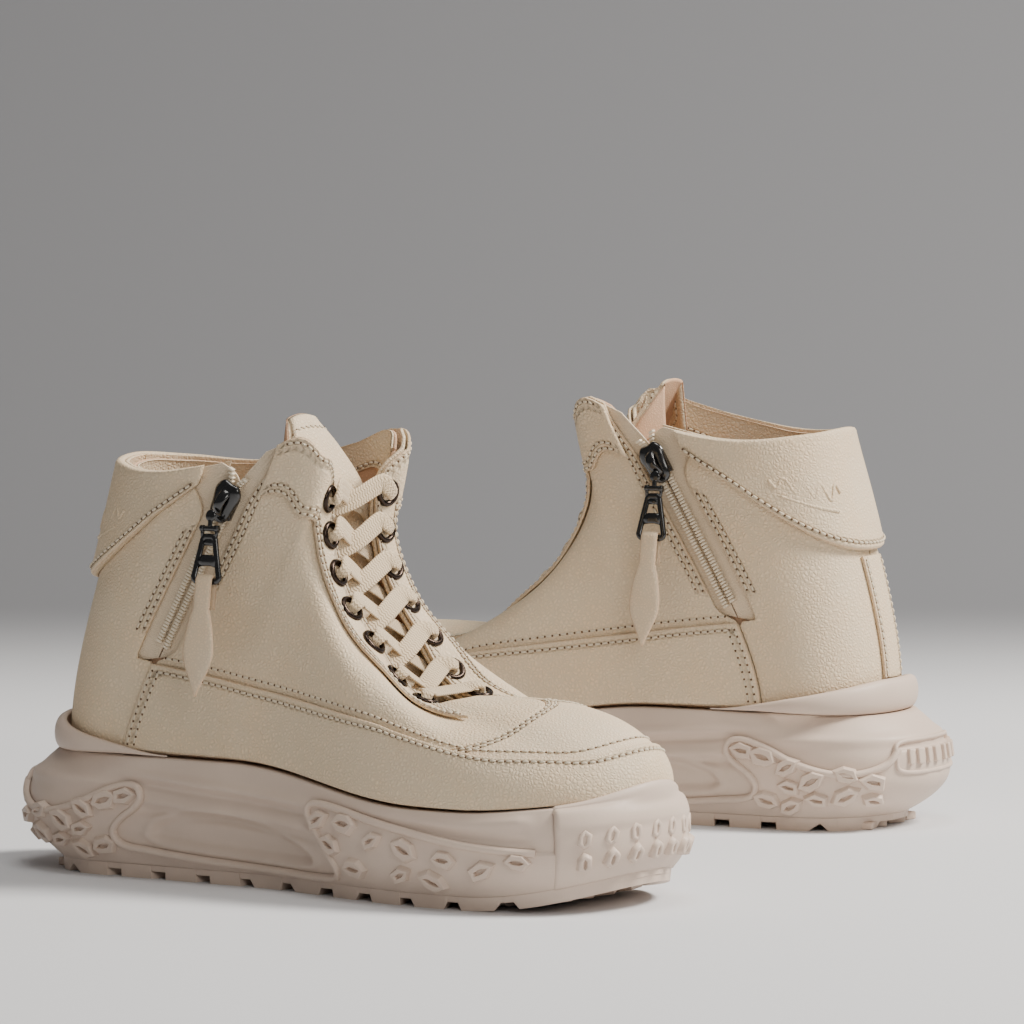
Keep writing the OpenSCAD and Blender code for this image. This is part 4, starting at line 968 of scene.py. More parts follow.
# ---- Eyelets ----
PAIRS, EDGE_IN = 7, 8.0
steps = np.linspace(0.40, 0.84, 41)
edge_points = upper(-1 + steps, np.ones(41))
edge_sum = np.concatenate([[0], np.cumsum(np.linalg.norm(np.diff(edge_points, axis=0), axis=-1))])
EYELET_S = np.interp(np.linspace(0, edge_sum[-1], PAIRS), edge_sum, steps)


def facing_at(g, s, d, o):
    w = g * (1 - s)
    if d < 0:
        a, b = skin(w, 1.0, o), skin(-w, 1.0, o)
        return a + unit(b - a) * -d
    return skin(w, 1 - d / rib_length(w), o)


def facing_normal(g, s):
    w = g * (1 - s)
    return normal(upper, w, 1 - EDGE_IN / rib_length(w))


def over_edge(g, s, d, o):
    w = g * (1 - s)
    return skin(w, 1 + d / rib_length(w), o)


def turned(profile, at, n, count=40, x_hint=(1, 0, 0)):
    """A ring turned round an axis from a closed profile of radius and height."""
    n = unit(np.asarray(n, float))
    y = unit(np.cross(n, x_hint))
    x = np.cross(y, n)
    rings = [[at + r * (x * math.cos(q) + y * math.sin(q)) + h * n for r, h in profile]
             for q in np.linspace(0, 2 * math.pi, count, endpoint=False)]
    rings = np.array(rings)
    m = rings.shape[1]
    faces = [(k * m + i, k * m + (i + 1) % m, ((k + 1) % count) * m + (i + 1) % m, ((k + 1) % count) * m + i)
             for k in range(count) for i in range(m)]
    v = rings.reshape(-1, 3)
    return v, facing_out(v, faces)


base = STAY_OUT + 0.15
EYELET_RING = [(2.9, -0.3), (3.5, -0.3), (3.5, base - 0.3), (5.1, base - 0.3), (5.3, base + 0.1),
    (5.15, base + 0.6), (4.7, base + 1.05),
               (4.15, base + 1.2), (3.6, base + 1.05), (3.15, base + 0.6), (2.92, base - 0.1)]
rings = []
for g in (-1, 1):
    for s in EYELET_S:
        rings.append(turned(EYELET_RING, facing_at(g, s, EDGE_IN, 0.0), facing_normal(g, s)))
v, f = gathered(rings)
boot_piece("eyelet_rings", v, f, bronze, node="eyelets")

# ---- Lace ----
LACE_W, LACE_T = 7.4, 1.3
LOW, HIGH = 2.4, 4.6


def lace_in(g, k):
    return (facing_at(g, EYELET_S[k], EDGE_IN, -1.6), facing_normal(g, EYELET_S[k]), 3.8, 2.2)


def lace_out(g, k):
    return (facing_at(g, EYELET_S[k], EDGE_IN + 0.6, STAY_OUT + 2.5), facing_normal(g, EYELET_S[k]), 4.4, 2.4)


def gap_point(g, k, u, lift):
    s = (EYELET_S[k] + EYELET_S[k - 1]) / 2
    return mix(facing_at(g, s, 0, lift), facing_at(-g, s, 0, lift), u)


def lace_cross(g, k):
    sa, sb = EYELET_S[k], EYELET_S[k - 1]
    n, m = facing_normal(g, sa), facing_normal(-g, sb)
    c = unit(n + m)
    lift = HIGH if g < 0 else LOW
    return [
        lace_in(g, k),
        (facing_at(g, mix(sa, sb, 0.16), 0.8, -2.0), n, LACE_W * 0.86, LACE_T),
        (gap_point(g, k, 0.5, lift - 0.8), c, LACE_W, LACE_T),
        (over_edge(-g, mix(sa, sb, 0.86), 0.6, STAY_OUT + 2.2), unit(2 * m + c), LACE_W, LACE_T),
        (facing_at(-g, mix(sa, sb, 0.95), EDGE_IN - 4.4, STAY_OUT + 3.0), m, LACE_W * 0.84, LACE_T * 1.15),
        lace_out(-g, k - 1),
    ]


def lace_up(g, k):
    return [lace_in(g, 0)] if k < 1 else lace_cross(g, k) + lace_up(-g, k - 1)


def lace_bar():
    s, o, k = EYELET_S[-1], STAY_OUT, PAIRS - 1
    return [
        lace_out(-1, k),
        (facing_at(-1, s + 0.01, EDGE_IN - 4.0, o + 2.8), facing_normal(-1, s), LACE_W * 0.85, LACE_T * 1.15),
        (over_edge(-1, s + 0.03, 0.6, o + 2.0), facing_normal(-1, s), LACE_W, LACE_T),
        (over_edge(1, s + 0.03, 0.6, o + 2.0), facing_normal(1, s), LACE_W, LACE_T),
        (facing_at(1, s + 0.01, EDGE_IN - 4.0, o + 2.8), facing_normal(1, s), LACE_W * 0.85, LACE_T * 1.15),
        lace_out(1, k),
    ]


def tail(g):
    s = EYELET_S[0]
    n = facing_normal(g, s)
    w = g * 0.67
    a = skin(w, 1 - 35 / rib_length(w), -7.0)
    x, y, floor_y = a[0] - 20, g * 15.0, g * 25.0
    bed = lambda q: float(rim_z(q)) + 8.8
    return [
        (facing_at(g, s, EDGE_IN + 6, -3.8), n, LACE_W * 0.6, LACE_T),
        (facing_at(g, 0.37, 24, -6.4), n, LACE_W * 0.6, LACE_T),
        (a + np.array([-9, -g * 4, -2]), unit(np.array([0.6, g * 0.5, 0.2])), LACE_W, LACE_T),
        (np.array([x - 2, y, a[2] - 36]), np.array([0, g, 0]), LACE_W, LACE_T),
        (np.array([x - 1, y, a[2] - 64]), np.array([0, g, 0]), LACE_W, LACE_T),
        (np.array([x + 2, mix(y, floor_y, 0.5), bed(x) + 6]), unit(np.array([-0.7, g * 0.3, 0.6])),
            LACE_W, LACE_T),
        (np.array([x + 14, floor_y, bed(x + 14)]), np.array([0, 0, 1.0]), LACE_W, LACE_T),
        (np.array([x + 36, floor_y, bed(x + 36)]), np.array([0, 0, 1.0]), LACE_W * 0.8, LACE_T),
    ]


route = tail(-1)[::-1] + lace_up(-1, PAIRS - 1)[::-1] + lace_bar() + lace_up(1, PAIRS - 1) + tail(1)


def through(points, step=1.3):
    """A smooth line through points, with the spacing of its own length."""
    p = np.asarray(points, float)
    p3 = p[:, :3]
    knots = np.concatenate([[0],
        np.cumsum(np.maximum(np.linalg.norm(np.diff(p3, axis=0), axis=-1), 0.4) ** 0.6)])
    ext = np.vstack([2 * p[0] - p[1], p, 2 * p[-1] - p[-2]])
    kx = np.concatenate([[knots[0] - (knots[1] - knots[0])], knots, [knots[-1] + knots[-1] - knots[-2]]])
    out = []
    for i in range(len(p) - 1):
        n = max(2, int(np.linalg.norm(p3[i + 1] - p3[i]) / step))
        a, b = ext[i + 1], ext[i + 2]
        d = kx[i + 2] - kx[i + 1]
        ma = (ext[i + 2] - ext[i]) / (kx[i + 2] - kx[i]) * d
        mb = (ext[i + 3] - ext[i + 1]) / (kx[i + 3] - kx[i + 1]) * d
        u = np.linspace(0, 1, n, endpoint=False)[:, None]
        out.append(a * (1 + 2 * u) * (1 - u) ** 2 + ma * u * (1 - u) ** 2 + b * u * u * (3 - 2 * u) + mb * u * u * (u - 1))
    out.append(p[-1:])
    return np.concatenate(out)


def ribbon(path, faces_up, wide, thick, count=14):
    """A flat woven band along a path: soft rounded edges, a little fuller at its borders."""
    d = unit(np.gradient(path, axis=0))
    side = unit(np.cross(d, faces_up))
    up = np.cross(side, d)
    rings, uv = [], []
    l = np.concatenate([[0], np.cumsum(np.linalg.norm(np.diff(path, axis=0), axis=-1))])
    for k in range(len(path)):
        ring = []
        for q in np.linspace(0, 2 * math.pi, count, endpoint=False):
            cx, cy = math.cos(q), math.sin(q)
            x = math.copysign(abs(cx) ** 0.55, cx)
            y = math.copysign(abs(cy) ** 0.75, cy)
            ring.append(path[k] + side[k] * x * wide[k] / 2 + up[k] * y * thick[k] / 2)
            uv.append((l[k] * 0.001, (x + 1) / 2 * 0.0074))
        rings.append(ring)
    return np.array(rings), np.array(uv)


control = np.array([[*p, *n, w, t] for p, n, w, t in route])
smooth_route = through(control)
lace_path = smooth_route[:, :3]
rings, lace_uv = ribbon(lace_path, smooth_route[:, 3:6], smooth_route[:, 6], smooth_route[:, 7])
verts, faces = tube(rings)
laces = boot_piece("lace_cord", verts, faces, lace_mat, node="lace", uv=lace_uv)
tips = []
for a, b in ((1, 0), (-2, -1)):
    end, back = lace_path[b], lace_path[a]
    d = unit(end - back)
    y = unit(np.cross(d, [0, 0, 1.0]))
    z = np.cross(y, d)
    rr = []
    for u, r in ((0.1, 1.05), (0.5, 1.3), (7, 1.28), (13.2, 1.2), (13.9, 1.0), (14.1, 0.6)):
        rr.append([end + d * u + r * (y * math.cos(q) + z * math.sin(q)) for q in np.linspace(0,
            2 * math.pi, 20, endpoint=False)])
    tips.append(tube(rr))
v, f = gathered(tips)
aglets = boot_piece("lace_tips", v, f, tip_mat, node="aglets")
for k, side in enumerate(SIDES):
    line = placed(lace_path, side)
    tuple(line[0])

# ---- Zip ----
zip_foot = skin(ZIP_W, ZIP_LOW + 0.05, 1.1)
zip_top = skin(ZIP_W, ZIP_HIGH, 1.1)
zip_dir = unit(zip_top - zip_foot)
zip_side = unit(np.cross(normal(upper, ZIP_W, 0.65), zip_dir))
zip_out = np.cross(zip_dir, zip_side)
zip_length = float(np.linalg.norm(zip_top - zip_foot))
slider_at = zip_length - 10 - 6.5


def part_at(x):
    """How far each row of teeth stands from the middle line at x along the zip."""
    return 8 * clamp((x - zip_length + 9) / 12) ** 1.3


def tape_place(g):
    def place(a, b):
        t = mix(ZIP_LOW + 0.02, ZIP_HIGH + 0.015, b)
        w0 = np.full(t.shape, ZIP_W)
        open_by = g * part_at((t - ZIP_LOW - 0.05) / (ZIP_HIGH - ZIP_LOW - 0.05) * zip_length)
        d = open_by + mix(-12.0 if g < 0 else 0.25, -0.25 if g < 0 else 12.0, a)
        return w0 + d / w_speed(w0, t), t
    return place


tapes = [Leather(tape_place(g), 16, 90, -1.0, -0.45, edge=0.15) for g in (-1, 1)]
v, f = gathered([shell(p.top, p.low) for p in tapes])
uvs = []
for g, p in zip((-1, 1), tapes):
    one = np.stack([p.lb, p.la], -1).reshape(-1, 2) * 0.001
    uvs += [one, one]
boot_piece("zip_tape_halves", v, f, tape_mat, node="zip_tape", uv=np.concatenate(uvs))


def on_zip(x, y, z):
    return zip_foot + zip_dir * x + zip_side * y + zip_out * z


def rounded_block(centre, x, y, z, size, r=0.3):
    """A small block with rounded corners, from three stacked rings on each side."""
    hx, hy, hz = [s / 2 for s in size]
    out = []
    for u, k in ((-1, 0.0), (-1 + r / hx * 0.3, 0.7), (-1 + r / hx, 1.0), (1 - r / hx, 1.0),
        (1 - r / hx * 0.3, 0.7), (1, 0.0)):
        ring = []
        for sy, sz in ((1, 1), (-1, 1), (-1, -1), (1, -1)):
            for e in (0, 1):
                e = e if sy * sz > 0 else 1 - e
                yy, zz = hy - r * (1 - k) - (r * k if e else 0), hz - r * (1 - k) - (0 if e else r * k)
                ring.append(centre + x * hx * u + y * sy * yy + z * sz * zz)
        out.append(ring)
    return tube(out)


teeth = []
for i in range(int((zip_length - 6) / 1.3)):
    for g in (-1, 1):
        x = 2 + 1.3 * (i + (0.5 if g > 0 else 0))
        c = on_zip(x, g * (1.8 + part_at(x)), -0.28)
        teeth.append(rounded_block(c, zip_side, zip_dir, zip_out, (2.1, 0.95, 2.0), 0.22))
v, f = gathered(teeth)
boot_piece("zip_teeth_rows", v, f, teeth_mat, node="zip_teeth")

# Slider: a plate with side flanges, and a bridge for the swivel
FACE, PLATE = 0.75 + 0.35, 1.1


def slider_outline(k, grow=0.0):
    pts = []
    for q in np.linspace(0, 2 * math.pi, 48, endpoint=False):
        x, y = math.cos(q), math.sin(q)
        wide = mix(4.8, 5.9, smooth(-0.6, 0.5, x)) + grow - 0.5 * bump_at(x, -0.1, 0.25)
        px = math.copysign(abs(x) ** 0.8, x) * (8.4 + grow)
        py = math.copysign(abs(y) ** 0.75, y) * wide * k
        notch = 0.9 * bump_at(y, 0, 0.3) * (1 if x > 0 else 0)
        pts.append((px - notch, py))
    return pts


slider = []
for z0, z1 in ((FACE, FACE + PLATE),):
    rr = []
    for z, grow in ((z0, -0.5), (z0 + 0.15, 0.0), (z1 - 0.3, 0.0), (z1 + 0.35, -0.5), (z1 + 0.9, -1.6),
        (z1 + 1.2, -3.0)):
        rr.append([on_zip(slider_at + px, py, z) for px, py in slider_outline(1.0, grow)])
    slider.append(tube(rr))
for g in (-1, 1):
    slider.append(rounded_block(on_zip(slider_at - 1.2, g * 4.1, 0.15), zip_dir, zip_side, zip_out,
        (9.4, 0.9, 2.2), 0.3))
arch = []
for u in np.linspace(0, 1, 18):
    x, z = mix(-5.2, 4.6, u), FACE + PLATE - 0.3 + 3.3 * math.sin(math.pi * u) ** 0.55
    arch.append((x, z, 2.1, 0.75 + 0.2 * math.sin(math.pi * u)))
rr = []
for k, (x, z, wy, wz) in enumerate(arch):
    nx = arch[min(k + 1, 17)][0] - arch[max(k - 1, 0)][0]
    nz = arch[min(k + 1, 17)][1] - arch[max(k - 1, 0)][1]
    m = math.hypot(nx, nz)
    ux, uz = -nz / m, nx / m
    rr.append([on_zip(slider_at + x + ux * wz * math.sin(q), wy * math.cos(q), z + uz * wz * math.sin(q))
               for q in np.linspace(0, 2 * math.pi, 14, endpoint=False)])
slider.append(tube(rr))
v, f = gathered(slider)
boot_piece("zip_slider_body", v, f, black_mat, body="slider", node="zip_slider")

zip_level = unit(np.array([zip_out[0], zip_out[1], 0]))
lean = math.radians(8)
hang = zip_level * math.sin(lean) - np.array([0, 0, math.cos(lean)])
hang_out = zip_level * math.cos(lean) + np.array([0, 0, math.sin(lean)])
hang_side = np.cross(hang_out, hang)
bridge_at = zip_foot + zip_dir * (slider_at - 5.2) + zip_out * (FACE + PLATE + 3.6)


def hung(x, y, z):
    return bridge_at + hang * x + hang_side * y + hang_out * z


def loop_ring(path, r_flat, r_up, place, count=12):
    """A closed rounded bar that follows a loop in the plane of the pull."""
    p = np.array(path, float)
    n = len(p)
    rings = []
    for k in range(n):
        d = p[(k + 1) % n] - p[k - 1]
        d = d / np.linalg.norm(d)
        s = np.array([-d[1], d[0]])
        rings.append([place(*(p[k] + s * r_flat[k % len(r_flat)] * math.cos(q)), 1.2 + r_up * math.sin(q))
                      for q in np.linspace(0, 2 * math.pi, count, endpoint=False)])
    rings = np.array(rings)
    faces = [(k * count + i, k * count + (i + 1) % count, ((k + 1) % n) * count + (i + 1) % count,
        ((k + 1) % n) * count + i)
             for k in range(n) for i in range(count)]
    v = rings.reshape(-1, 3)
    return v, facing_out(v, faces)


def bar(points, r_side, r_up, place, count=12):
    p = np.array(points, float)
    d = unit(np.gradient(p, axis=0))
    rings = []
    for k in range(len(p)):
        s = np.array([-d[k][1], d[k][0]])
        rings.append([place(p[k][0] + s[0] * r_side * math.cos(q), p[k][1] + s[1] * r_side * math.cos(q),
            1.2 + r_up * math.sin(q))
                      for q in np.linspace(0, 2 * math.pi, count, endpoint=False)])
    return tube(rings)


# Swivel: a ball head under the bridge, a stem, and the pin that carries the pull
ball = []
for u in np.linspace(-1, 1, 11):
    r = 2.2 * math.sqrt(max(0, 1 - u * u)) + 0.05
    ball.append([hung(0.3 + r * math.cos(q), r * math.sin(q), 1.15 + 0.85 * u) for q in np.linspace(0,
        2 * math.pi, 24, endpoint=False)])
swivel = [tube(ball), bar([(0.6, 0), (2.2, 0), (3.8, 0), (5.0, 0)], 1.0, 0.6, hung)]
pin = [[hung(5 + 1.0 * math.cos(q), y, 1.2 + 1.0 * math.sin(q)) for q in np.linspace(0, 2 * math.pi, 20,
    endpoint=False)] for y in (-2.2, -2.0, 2.0, 2.2)]
swivel.append(tube(pin))
v, f = gathered(swivel)
boot_piece("zip_swivel_ball", v, f, black_mat, body="swivel", node="zip_swivel")


def pull_xy(x, y):
    return (5 + x, y)


def rounded_loop(x0, x1, half0, half1, r, n=10):
    pts = []
    for cx, cy, q0 in ((x1 - r, half1 - r, 0), (x0 + r, half0 - r, 90), (x0 + r, -half0 + r, 180),
        (x1 - r, -half1 + r, 270)):
        pts += [pull_xy(cx + r * math.cos(math.radians(q)),
            cy + r * math.sin(math.radians(q))) for q in np.linspace(q0, q0 + 90, n)]
    return pts


pull = [
    loop_ring(rounded_loop(3.0, 19.2, 2.7, 5.4, 1.6), [1.2], 0.85, hung),
    bar([pull_xy(12.2, -4.4), pull_xy(11.6, -1.4), pull_xy(11.6, 1.4), pull_xy(12.2, 4.4)], 2.1, 0.8, hung),
    bar([pull_xy(5.2, -2.8), pull_xy(5.0, 0), pull_xy(5.2, 2.8)], 1.2, 0.7, hung),
]
for g in (-1, 1):
    pull.append(bar([pull_xy(0.0, g * 3.1), pull_xy(1.5, g * 3.1), pull_xy(3.2, g * 2.9)], 0.7, 0.7, hung))
    pull.append(tube([[hung(5 + 1.25 * math.cos(q), g * y,
        1.2 + 1.25 * math.sin(q)) for q in np.linspace(0, 2 * math.pi, 20,
            endpoint=False)] for y in (2.45, 2.6, 3.6, 3.8)]))
v, f = gathered(pull)
boot_piece("zip_pull_link", v, f, black_mat, body="pull", node="zip_pull")

# Leather tab: one strip folded through the link's slot, its short end laid over the long one
BAR_AT = 5 + 19.0


def leaf_half(u, long):
    if not long:
        return 3.7
    return mix(3.6, 0.3,
        float(smooth(0.62, 1.0, u))) + 3.0 * math.sin(math.pi * float(clamp((u - 0.24) / 0.76))) ** 0.9


tab_rows = []
for k, u in enumerate(np.linspace(1, 0, 26)):
    tab_rows.append((0.4 + 42 * u, 1.8 + 0.5 * math.sin(u * 3), leaf_half(u, True)))
for q in np.linspace(80, -80, 9):
    tab_rows.append((-1.95 * math.cos(math.radians(q)) + 0.2, 1.85 * math.sin(math.radians(q)), 3.6))
for u in np.linspace(0.02, 1, 12):
    tab_rows.append((0.4 + 10 * u, -1.85, leaf_half(u, False)))
tab_line = np.array([[r[0], r[1]] for r in tab_rows])
tab_dir = unit(np.gradient(tab_line, axis=0))
top_rows, low_rows = [], []
for k, (x, z, half) in enumerate(tab_rows):
    nx, nz = -tab_dir[k][1], tab_dir[k][0]
    line_t, line_b = [], []
    for y in np.linspace(-1, 1, 13):
        edge = 0.5 * abs(y) ** 8
        curl = 0.5 * y * y * (1 if z > 0 else -0.3)
        for line, o in ((line_t, 0.5 - edge), (line_b, -0.5 + edge)):
            line.append(hung(BAR_AT + x + nx * o, y * half, 1.2 + z + nz * o - curl * 0.6))
    top_rows.append(line_t)
    low_rows.append(line_b)
verts, faces = shell(np.array(top_rows), np.array(low_rows))
tab_edge = np.zeros((26 + 9 + 12, 13))
half_each = np.array([r[2] for r in tab_rows])
tab_edge[:] = half_each[:, None] * (1 - np.abs(np.linspace(-1, 1, 13)))[None, :]
seam_v = np.stack([np.zeros_like(tab_edge), tab_edge, np.zeros_like(tab_edge)], -1).reshape(-1, 3)
boot_piece("zip_tab_leather", verts, faces, raw_mat, body="tab", node="zip_tab",
    seam=np.concatenate([seam_v, seam_v]))

# ---- Sole ----
# Outlines of the moulded panels, as nominal x and z along the side
HEEL_PANEL = [(9, 34), (13, 28), (22, 24.5), (34, 24.5), (48, 28), (62, 34), (72, 37), (78, 36.5),
    (80, 32.5), (77, 28.5), (70, 23.5),
              (66.5, 19), (67.5, 15), (72, 12.6), (84, 11.3), (104, 9.6), (128, 8.3), (150, 7.6),
                  (166, 7.4), (174.5, 8.6), (176, 12),
              (172, 19), (166, 27), (161.5, 33), (162, 36.5), (166, 37.6), (176, 36.6), (190, 34),
                  (210, 30.4), (232, 27), (250, 25.2), (261, 24.6)]


def s_of(x):
    x = np.asarray(x, float)
    behind = clamp((HEEL_X - x) / (HEEL_X - HEEL_IN))
    heel = np.degrees(np.arccos(behind ** 1.15)) / 90 * HEEL_SHARE
    mid = HEEL_SHARE + (x - HEEL_X) / (BALL_X - HEEL_X) * (SIDE_SHARE - HEEL_SHARE)
    ahead = clamp((x - BALL_X) / (L - TOE_IN - BALL_X))
    toe = SIDE_SHARE + (1 - SIDE_SHARE) * np.degrees(np.arcsin(ahead ** 1.15)) / 90
    return np.where(x < HEEL_X, heel, np.where(x < BALL_X, mid, toe))


def v_of(x, z):
    return (z - foot_z(x)) / (rim_z(x) - foot_z(x))


def x_of(s):
    table_x = np.linspace(HEEL_IN, L - TOE_IN, 600)
    return np.interp(s, s_of(table_x), table_x)


def on_side(g, line, o=0.0, step=1.0):
    p = through(np.array([[a, b, 0.0] for a, b in line]), step)[:, :2]
    s, v = s_of(p[:, 0]), v_of(p[:, 0], p[:, 1])
    w = g * (1 - s)
    q = clad(w, v, np.full(w.shape, o))
    return q, unit(clad(w, v, np.full(w.shape, 1.0)) - clad(w, v, np.zeros(w.shape)))


def bead(line, wide=2.8, high=1.3, sink=0.9):
    p, n = line
    d = unit(np.gradient(p, axis=0))
    side = unit(np.cross(d, n))
    rings = []
    shape = [(-1.0, -sink), (-0.96, 0.05), (-0.72, 0.62), (-0.38, 0.92), (0, 1.0), (0.38, 0.92),
        (0.72, 0.62), (0.96, 0.05), (1.0, -sink)]
    for k in range(len(p)):
        rings.append([p[k] + side[k] * x * wide / 2 + n[k] * (z if z < 0 else z * high) for x, z in shape])
    return tube(rings)


def inside(px, pz, poly):
    """Signed distance to an outline: positive inside it."""
    poly = np.asarray(poly, float)
    a, b = poly, np.roll(poly, -1, axis=0)
    best = np.full(px.shape, 1e9)
    odd = np.zeros(px.shape, bool)
    for (ax, az), (bx, bz) in zip(a, b):
        dx, dz = bx - ax, bz - az
        u = clamp(((px - ax) * dx + (pz - az) * dz) / (dx * dx + dz * dz + 1e-9))
        best = np.minimum(best, np.hypot(px - ax - u * dx, pz - az - u * dz))
        cross = ((az > pz) != (bz > pz)) & (px < (bx - ax) * (pz - az) / (bz - az + 1e-12) + ax)
        odd ^= cross
    return np.where(odd, best, -best)


HEEL_PANEL = [(x + 9 * (1 - x / 120) if x < 120 else x, z * mix(0.94, 0.9, clamp((x - 60) / 120))) for x,
    z in HEEL_PANEL]
panel_line = through(np.array([[a, b, 0.0] for a, b in HEEL_PANEL]), 2.0)[:, :2]
panel_area = np.vstack([[(-40, 34)], panel_line, [(400, 24.6), (400, -30), (-40, -30)]])
CRESCENT = through(np.array([[a, b, 0.0] for a, b in [
    (86, 17), (90, 22), (103, 25.4), (120, 25.8), (138, 23.4), (154, 18.6), (162, 13.6), (161, 11),
        (150, 10.6), (128, 11.6), (106, 13), (90, 14.4), (86, 17)]]), 2.0)[:, :2]


def relief(s, z):
    x = x_of(s)
    d = inside(x, z, panel_area)
    o = -1.3 + 1.3 * smooth(-0.5, 0.5, d)
    out = smooth(0.4, 3.0, -d)
    c = inside(x, z, CRESCENT)
    o = o - 2.1 * smooth(-0.6, 2.6, c) + 0.8 * bump_at(c, -1.2, 1.2)
    waist = smooth(62, 92, x) * (1 - smooth(146, 172, x))
    for line_z, size in ((39.5 - 0.075 * (x - 70), 1.0),
        (30.5 - 0.06 * (x - 70) - 0.0006 * (x - 118) ** 2, 0.9)):
        o = o + out * waist * size * (1.5 * bump_at(z, line_z, 1.9) - 1.1 * bump_at(z, line_z - 3.2, 1.7))
    heel = (1 - smooth(58, 80, x)) * smooth(4, 14, x)
    o = o + out * heel * 1.2 * bump_at(z, 36.5 - 0.02 * x, 2.2)
    fore = smooth(176, 196, x) * (1 - smooth(254, 262, x))
    o = o + out * fore * (1.2 * bump_at(z, rim_z(x) - 3.6, 2.4) - 1.0 * bump_at(z,
        mix(30.5, 26.5, smooth(190, 258, x)), 1.8))
    return o


def sole_grid(w_list, v_list):
    W, V = np.meshgrid(w_list, v_list, indexing="ij")
    z = wall(W, V)[..., 2]
    o = relief(share(W), z)
    return clad(W, V, o), W, V


round_w = round_at(np.linspace(0, 1, 561)[:-1])
v_rows = np.concatenate([np.linspace(0, 0.94, 60), [0.955, 0.97, 0.985, 1.0]])
outer, W, V = sole_grid(round_w, v_rows)
inner = clad(W, V, np.full(W.shape, -4.0))
lip = skin(W[:, -1], np.full(W.shape[0], 0.0), np.full(W.shape[0], -3.0))
lip[:, 2] = outer[:, -1, 2] + 0.6
inner[:, -1] = lip
verts, faces = shell(outer, inner, loop=True)
boot_piece("midsole_body", verts, faces, sole_mat, node="midsole")


def stud_solid(w, v, turn, size, sides, lift=0.0):
    """A moulded stud: a rough polygon with a raised rim round a narrow slot."""
    n = normal(wall, w, v)
    c = clad(w, v, relief(share(np.array(w)), wall(w, v)[..., 2]) + lift)
    x = unit(np.cross([0, 0, 1.0], n))
    z = np.cross(n, x)
    rings = []
    prof = [(1.16, -0.9), (1.1, 0.1), (0.96, 1.6), (0.88, 1.95), (0.64, 1.95), (0.54, 1.6), (0.46, 0.2)]
    for r, h in prof:
        ring = []
        for k in range(sides):
            q = 2 * math.pi * k / sides
            rad = size * (1 + 0.13 * math.cos(2.3 * k + turn))
            px, pz = rad * r * math.cos(q) * 1.12, rad * r * math.sin(q) * 0.84
            if r < 0.7:
                px, pz = px * 1.02, pz * 0.5
            cx, sx = math.cos(turn), math.sin(turn)
            ring.append(c + x * (px * cx - pz * sx) + z * (px * sx + pz * cx) + n * h)
        rings.append(ring)
    return tube(rings)


def stud_field(points, seed):
    parts = []
    for i, (x, z) in enumerate(points):
        for g in (-1, 1):
            s = float(s_of(x))
            parts.append(stud_solid(g * (1 - s), float(v_of(x, z)), 0.5 * math.sin(i * 2.1 + seed),
                4.35 + 0.5 * math.sin(i * 1.7), 6 if i % 3 else 5))
    return parts


HEEL_STUDS = [(76, 30.6), (67, 28.6), (57, 25), (56, 17.5), (66, 12), (47, 20), (45, 13), (34, 22.5),
    (34, 14.5), (25, 20), (24, 13), (56, 10)]
FORE_STUDS = [(167.5, 28.2), (181, 28), (174, 20), (195, 23), (186, 12.5), (210, 21), (208, 12),
    (227, 18.4), (222, 10.6), (242, 15.4), (255, 19)]
heel_parts = stud_field(HEEL_STUDS, 0.3)
fore_parts = stud_field(FORE_STUDS, 1.1)
for g in (-1, 1):
    p, n = on_side(g, HEEL_PANEL)
    along = p[:, 0]
    k = int(np.argmax(along > 128))
    heel_parts.append(bead((p[:k + 1], n[:k + 1])))
    fore_parts.append(bead((p[k:], n[k:])))
# The plate at the back of the heel: plain bars in a raised frame
frame_turn = np.linspace(0, 2 * math.pi, 97)
frame_w = 1 + 0.052 * np.sign(np.cos(frame_turn)) * np.abs(np.cos(frame_turn)) ** 0.35
frame_v = 0.6 + 0.155 * np.sign(np.sin(frame_turn)) * np.abs(np.sin(frame_turn)) ** 0.35
frame_line = clad(frame_w, frame_v, 0.0)
heel_parts.append(bead((frame_line, normal(wall, frame_w, frame_v)), 1.8, 0.9))
for k, w in enumerate(np.linspace(1 - 0.038, 1 + 0.038, 8)):
    n = normal(wall, w, 0.6)
    across_bar = unit(np.cross([0, 0, 1.0], n))
    size = (2.6, 2.2 if k % 2 else 3.1, 6.2)
    heel_parts.append(rounded_block(clad(w, 0.6, 0.0), n, across_bar, np.cross(n, across_bar), size, 0.5))
v, f = gathered(heel_parts)
boot_piece("heel_wall_moulding", v, f, sole_mat, node="heel_wall", smooth_faces=False)
v, f = gathered(fore_parts)
boot_piece("forefoot_wall_moulding", v, f, sole_mat, node="forefoot_wall", smooth_faces=False)

# Toe bumper: a thick panel that climbs over the edge of the leather
BUMPER_HALF = 0.172


def bumper_rows(w):
    rows = []
    for v, o in ((0.0, 0.5), (0.12, 0.8), (0.3, 1.0), (0.5, 1.0), (0.64, 0.9), (0.72, 1.6), (0.84, 1.7),
        (0.94, 1.4)):
        rows.append(clad(w, v, o))
    climb = mix(1.9, 0.4, float(smooth(0, 1, abs(w) / BUMPER_HALF)))
    for t, o in ((0.014, OVER_OUT + 1.9), (0.025, OVER_OUT + 1.7), (0.034, OVER_OUT + 1.3),
        (0.04, OVER_OUT + 0.8), (0.044, OVER_OUT + 0.2)):
        rows.append(skin(w, t * climb, o))
    return np.array(rows)


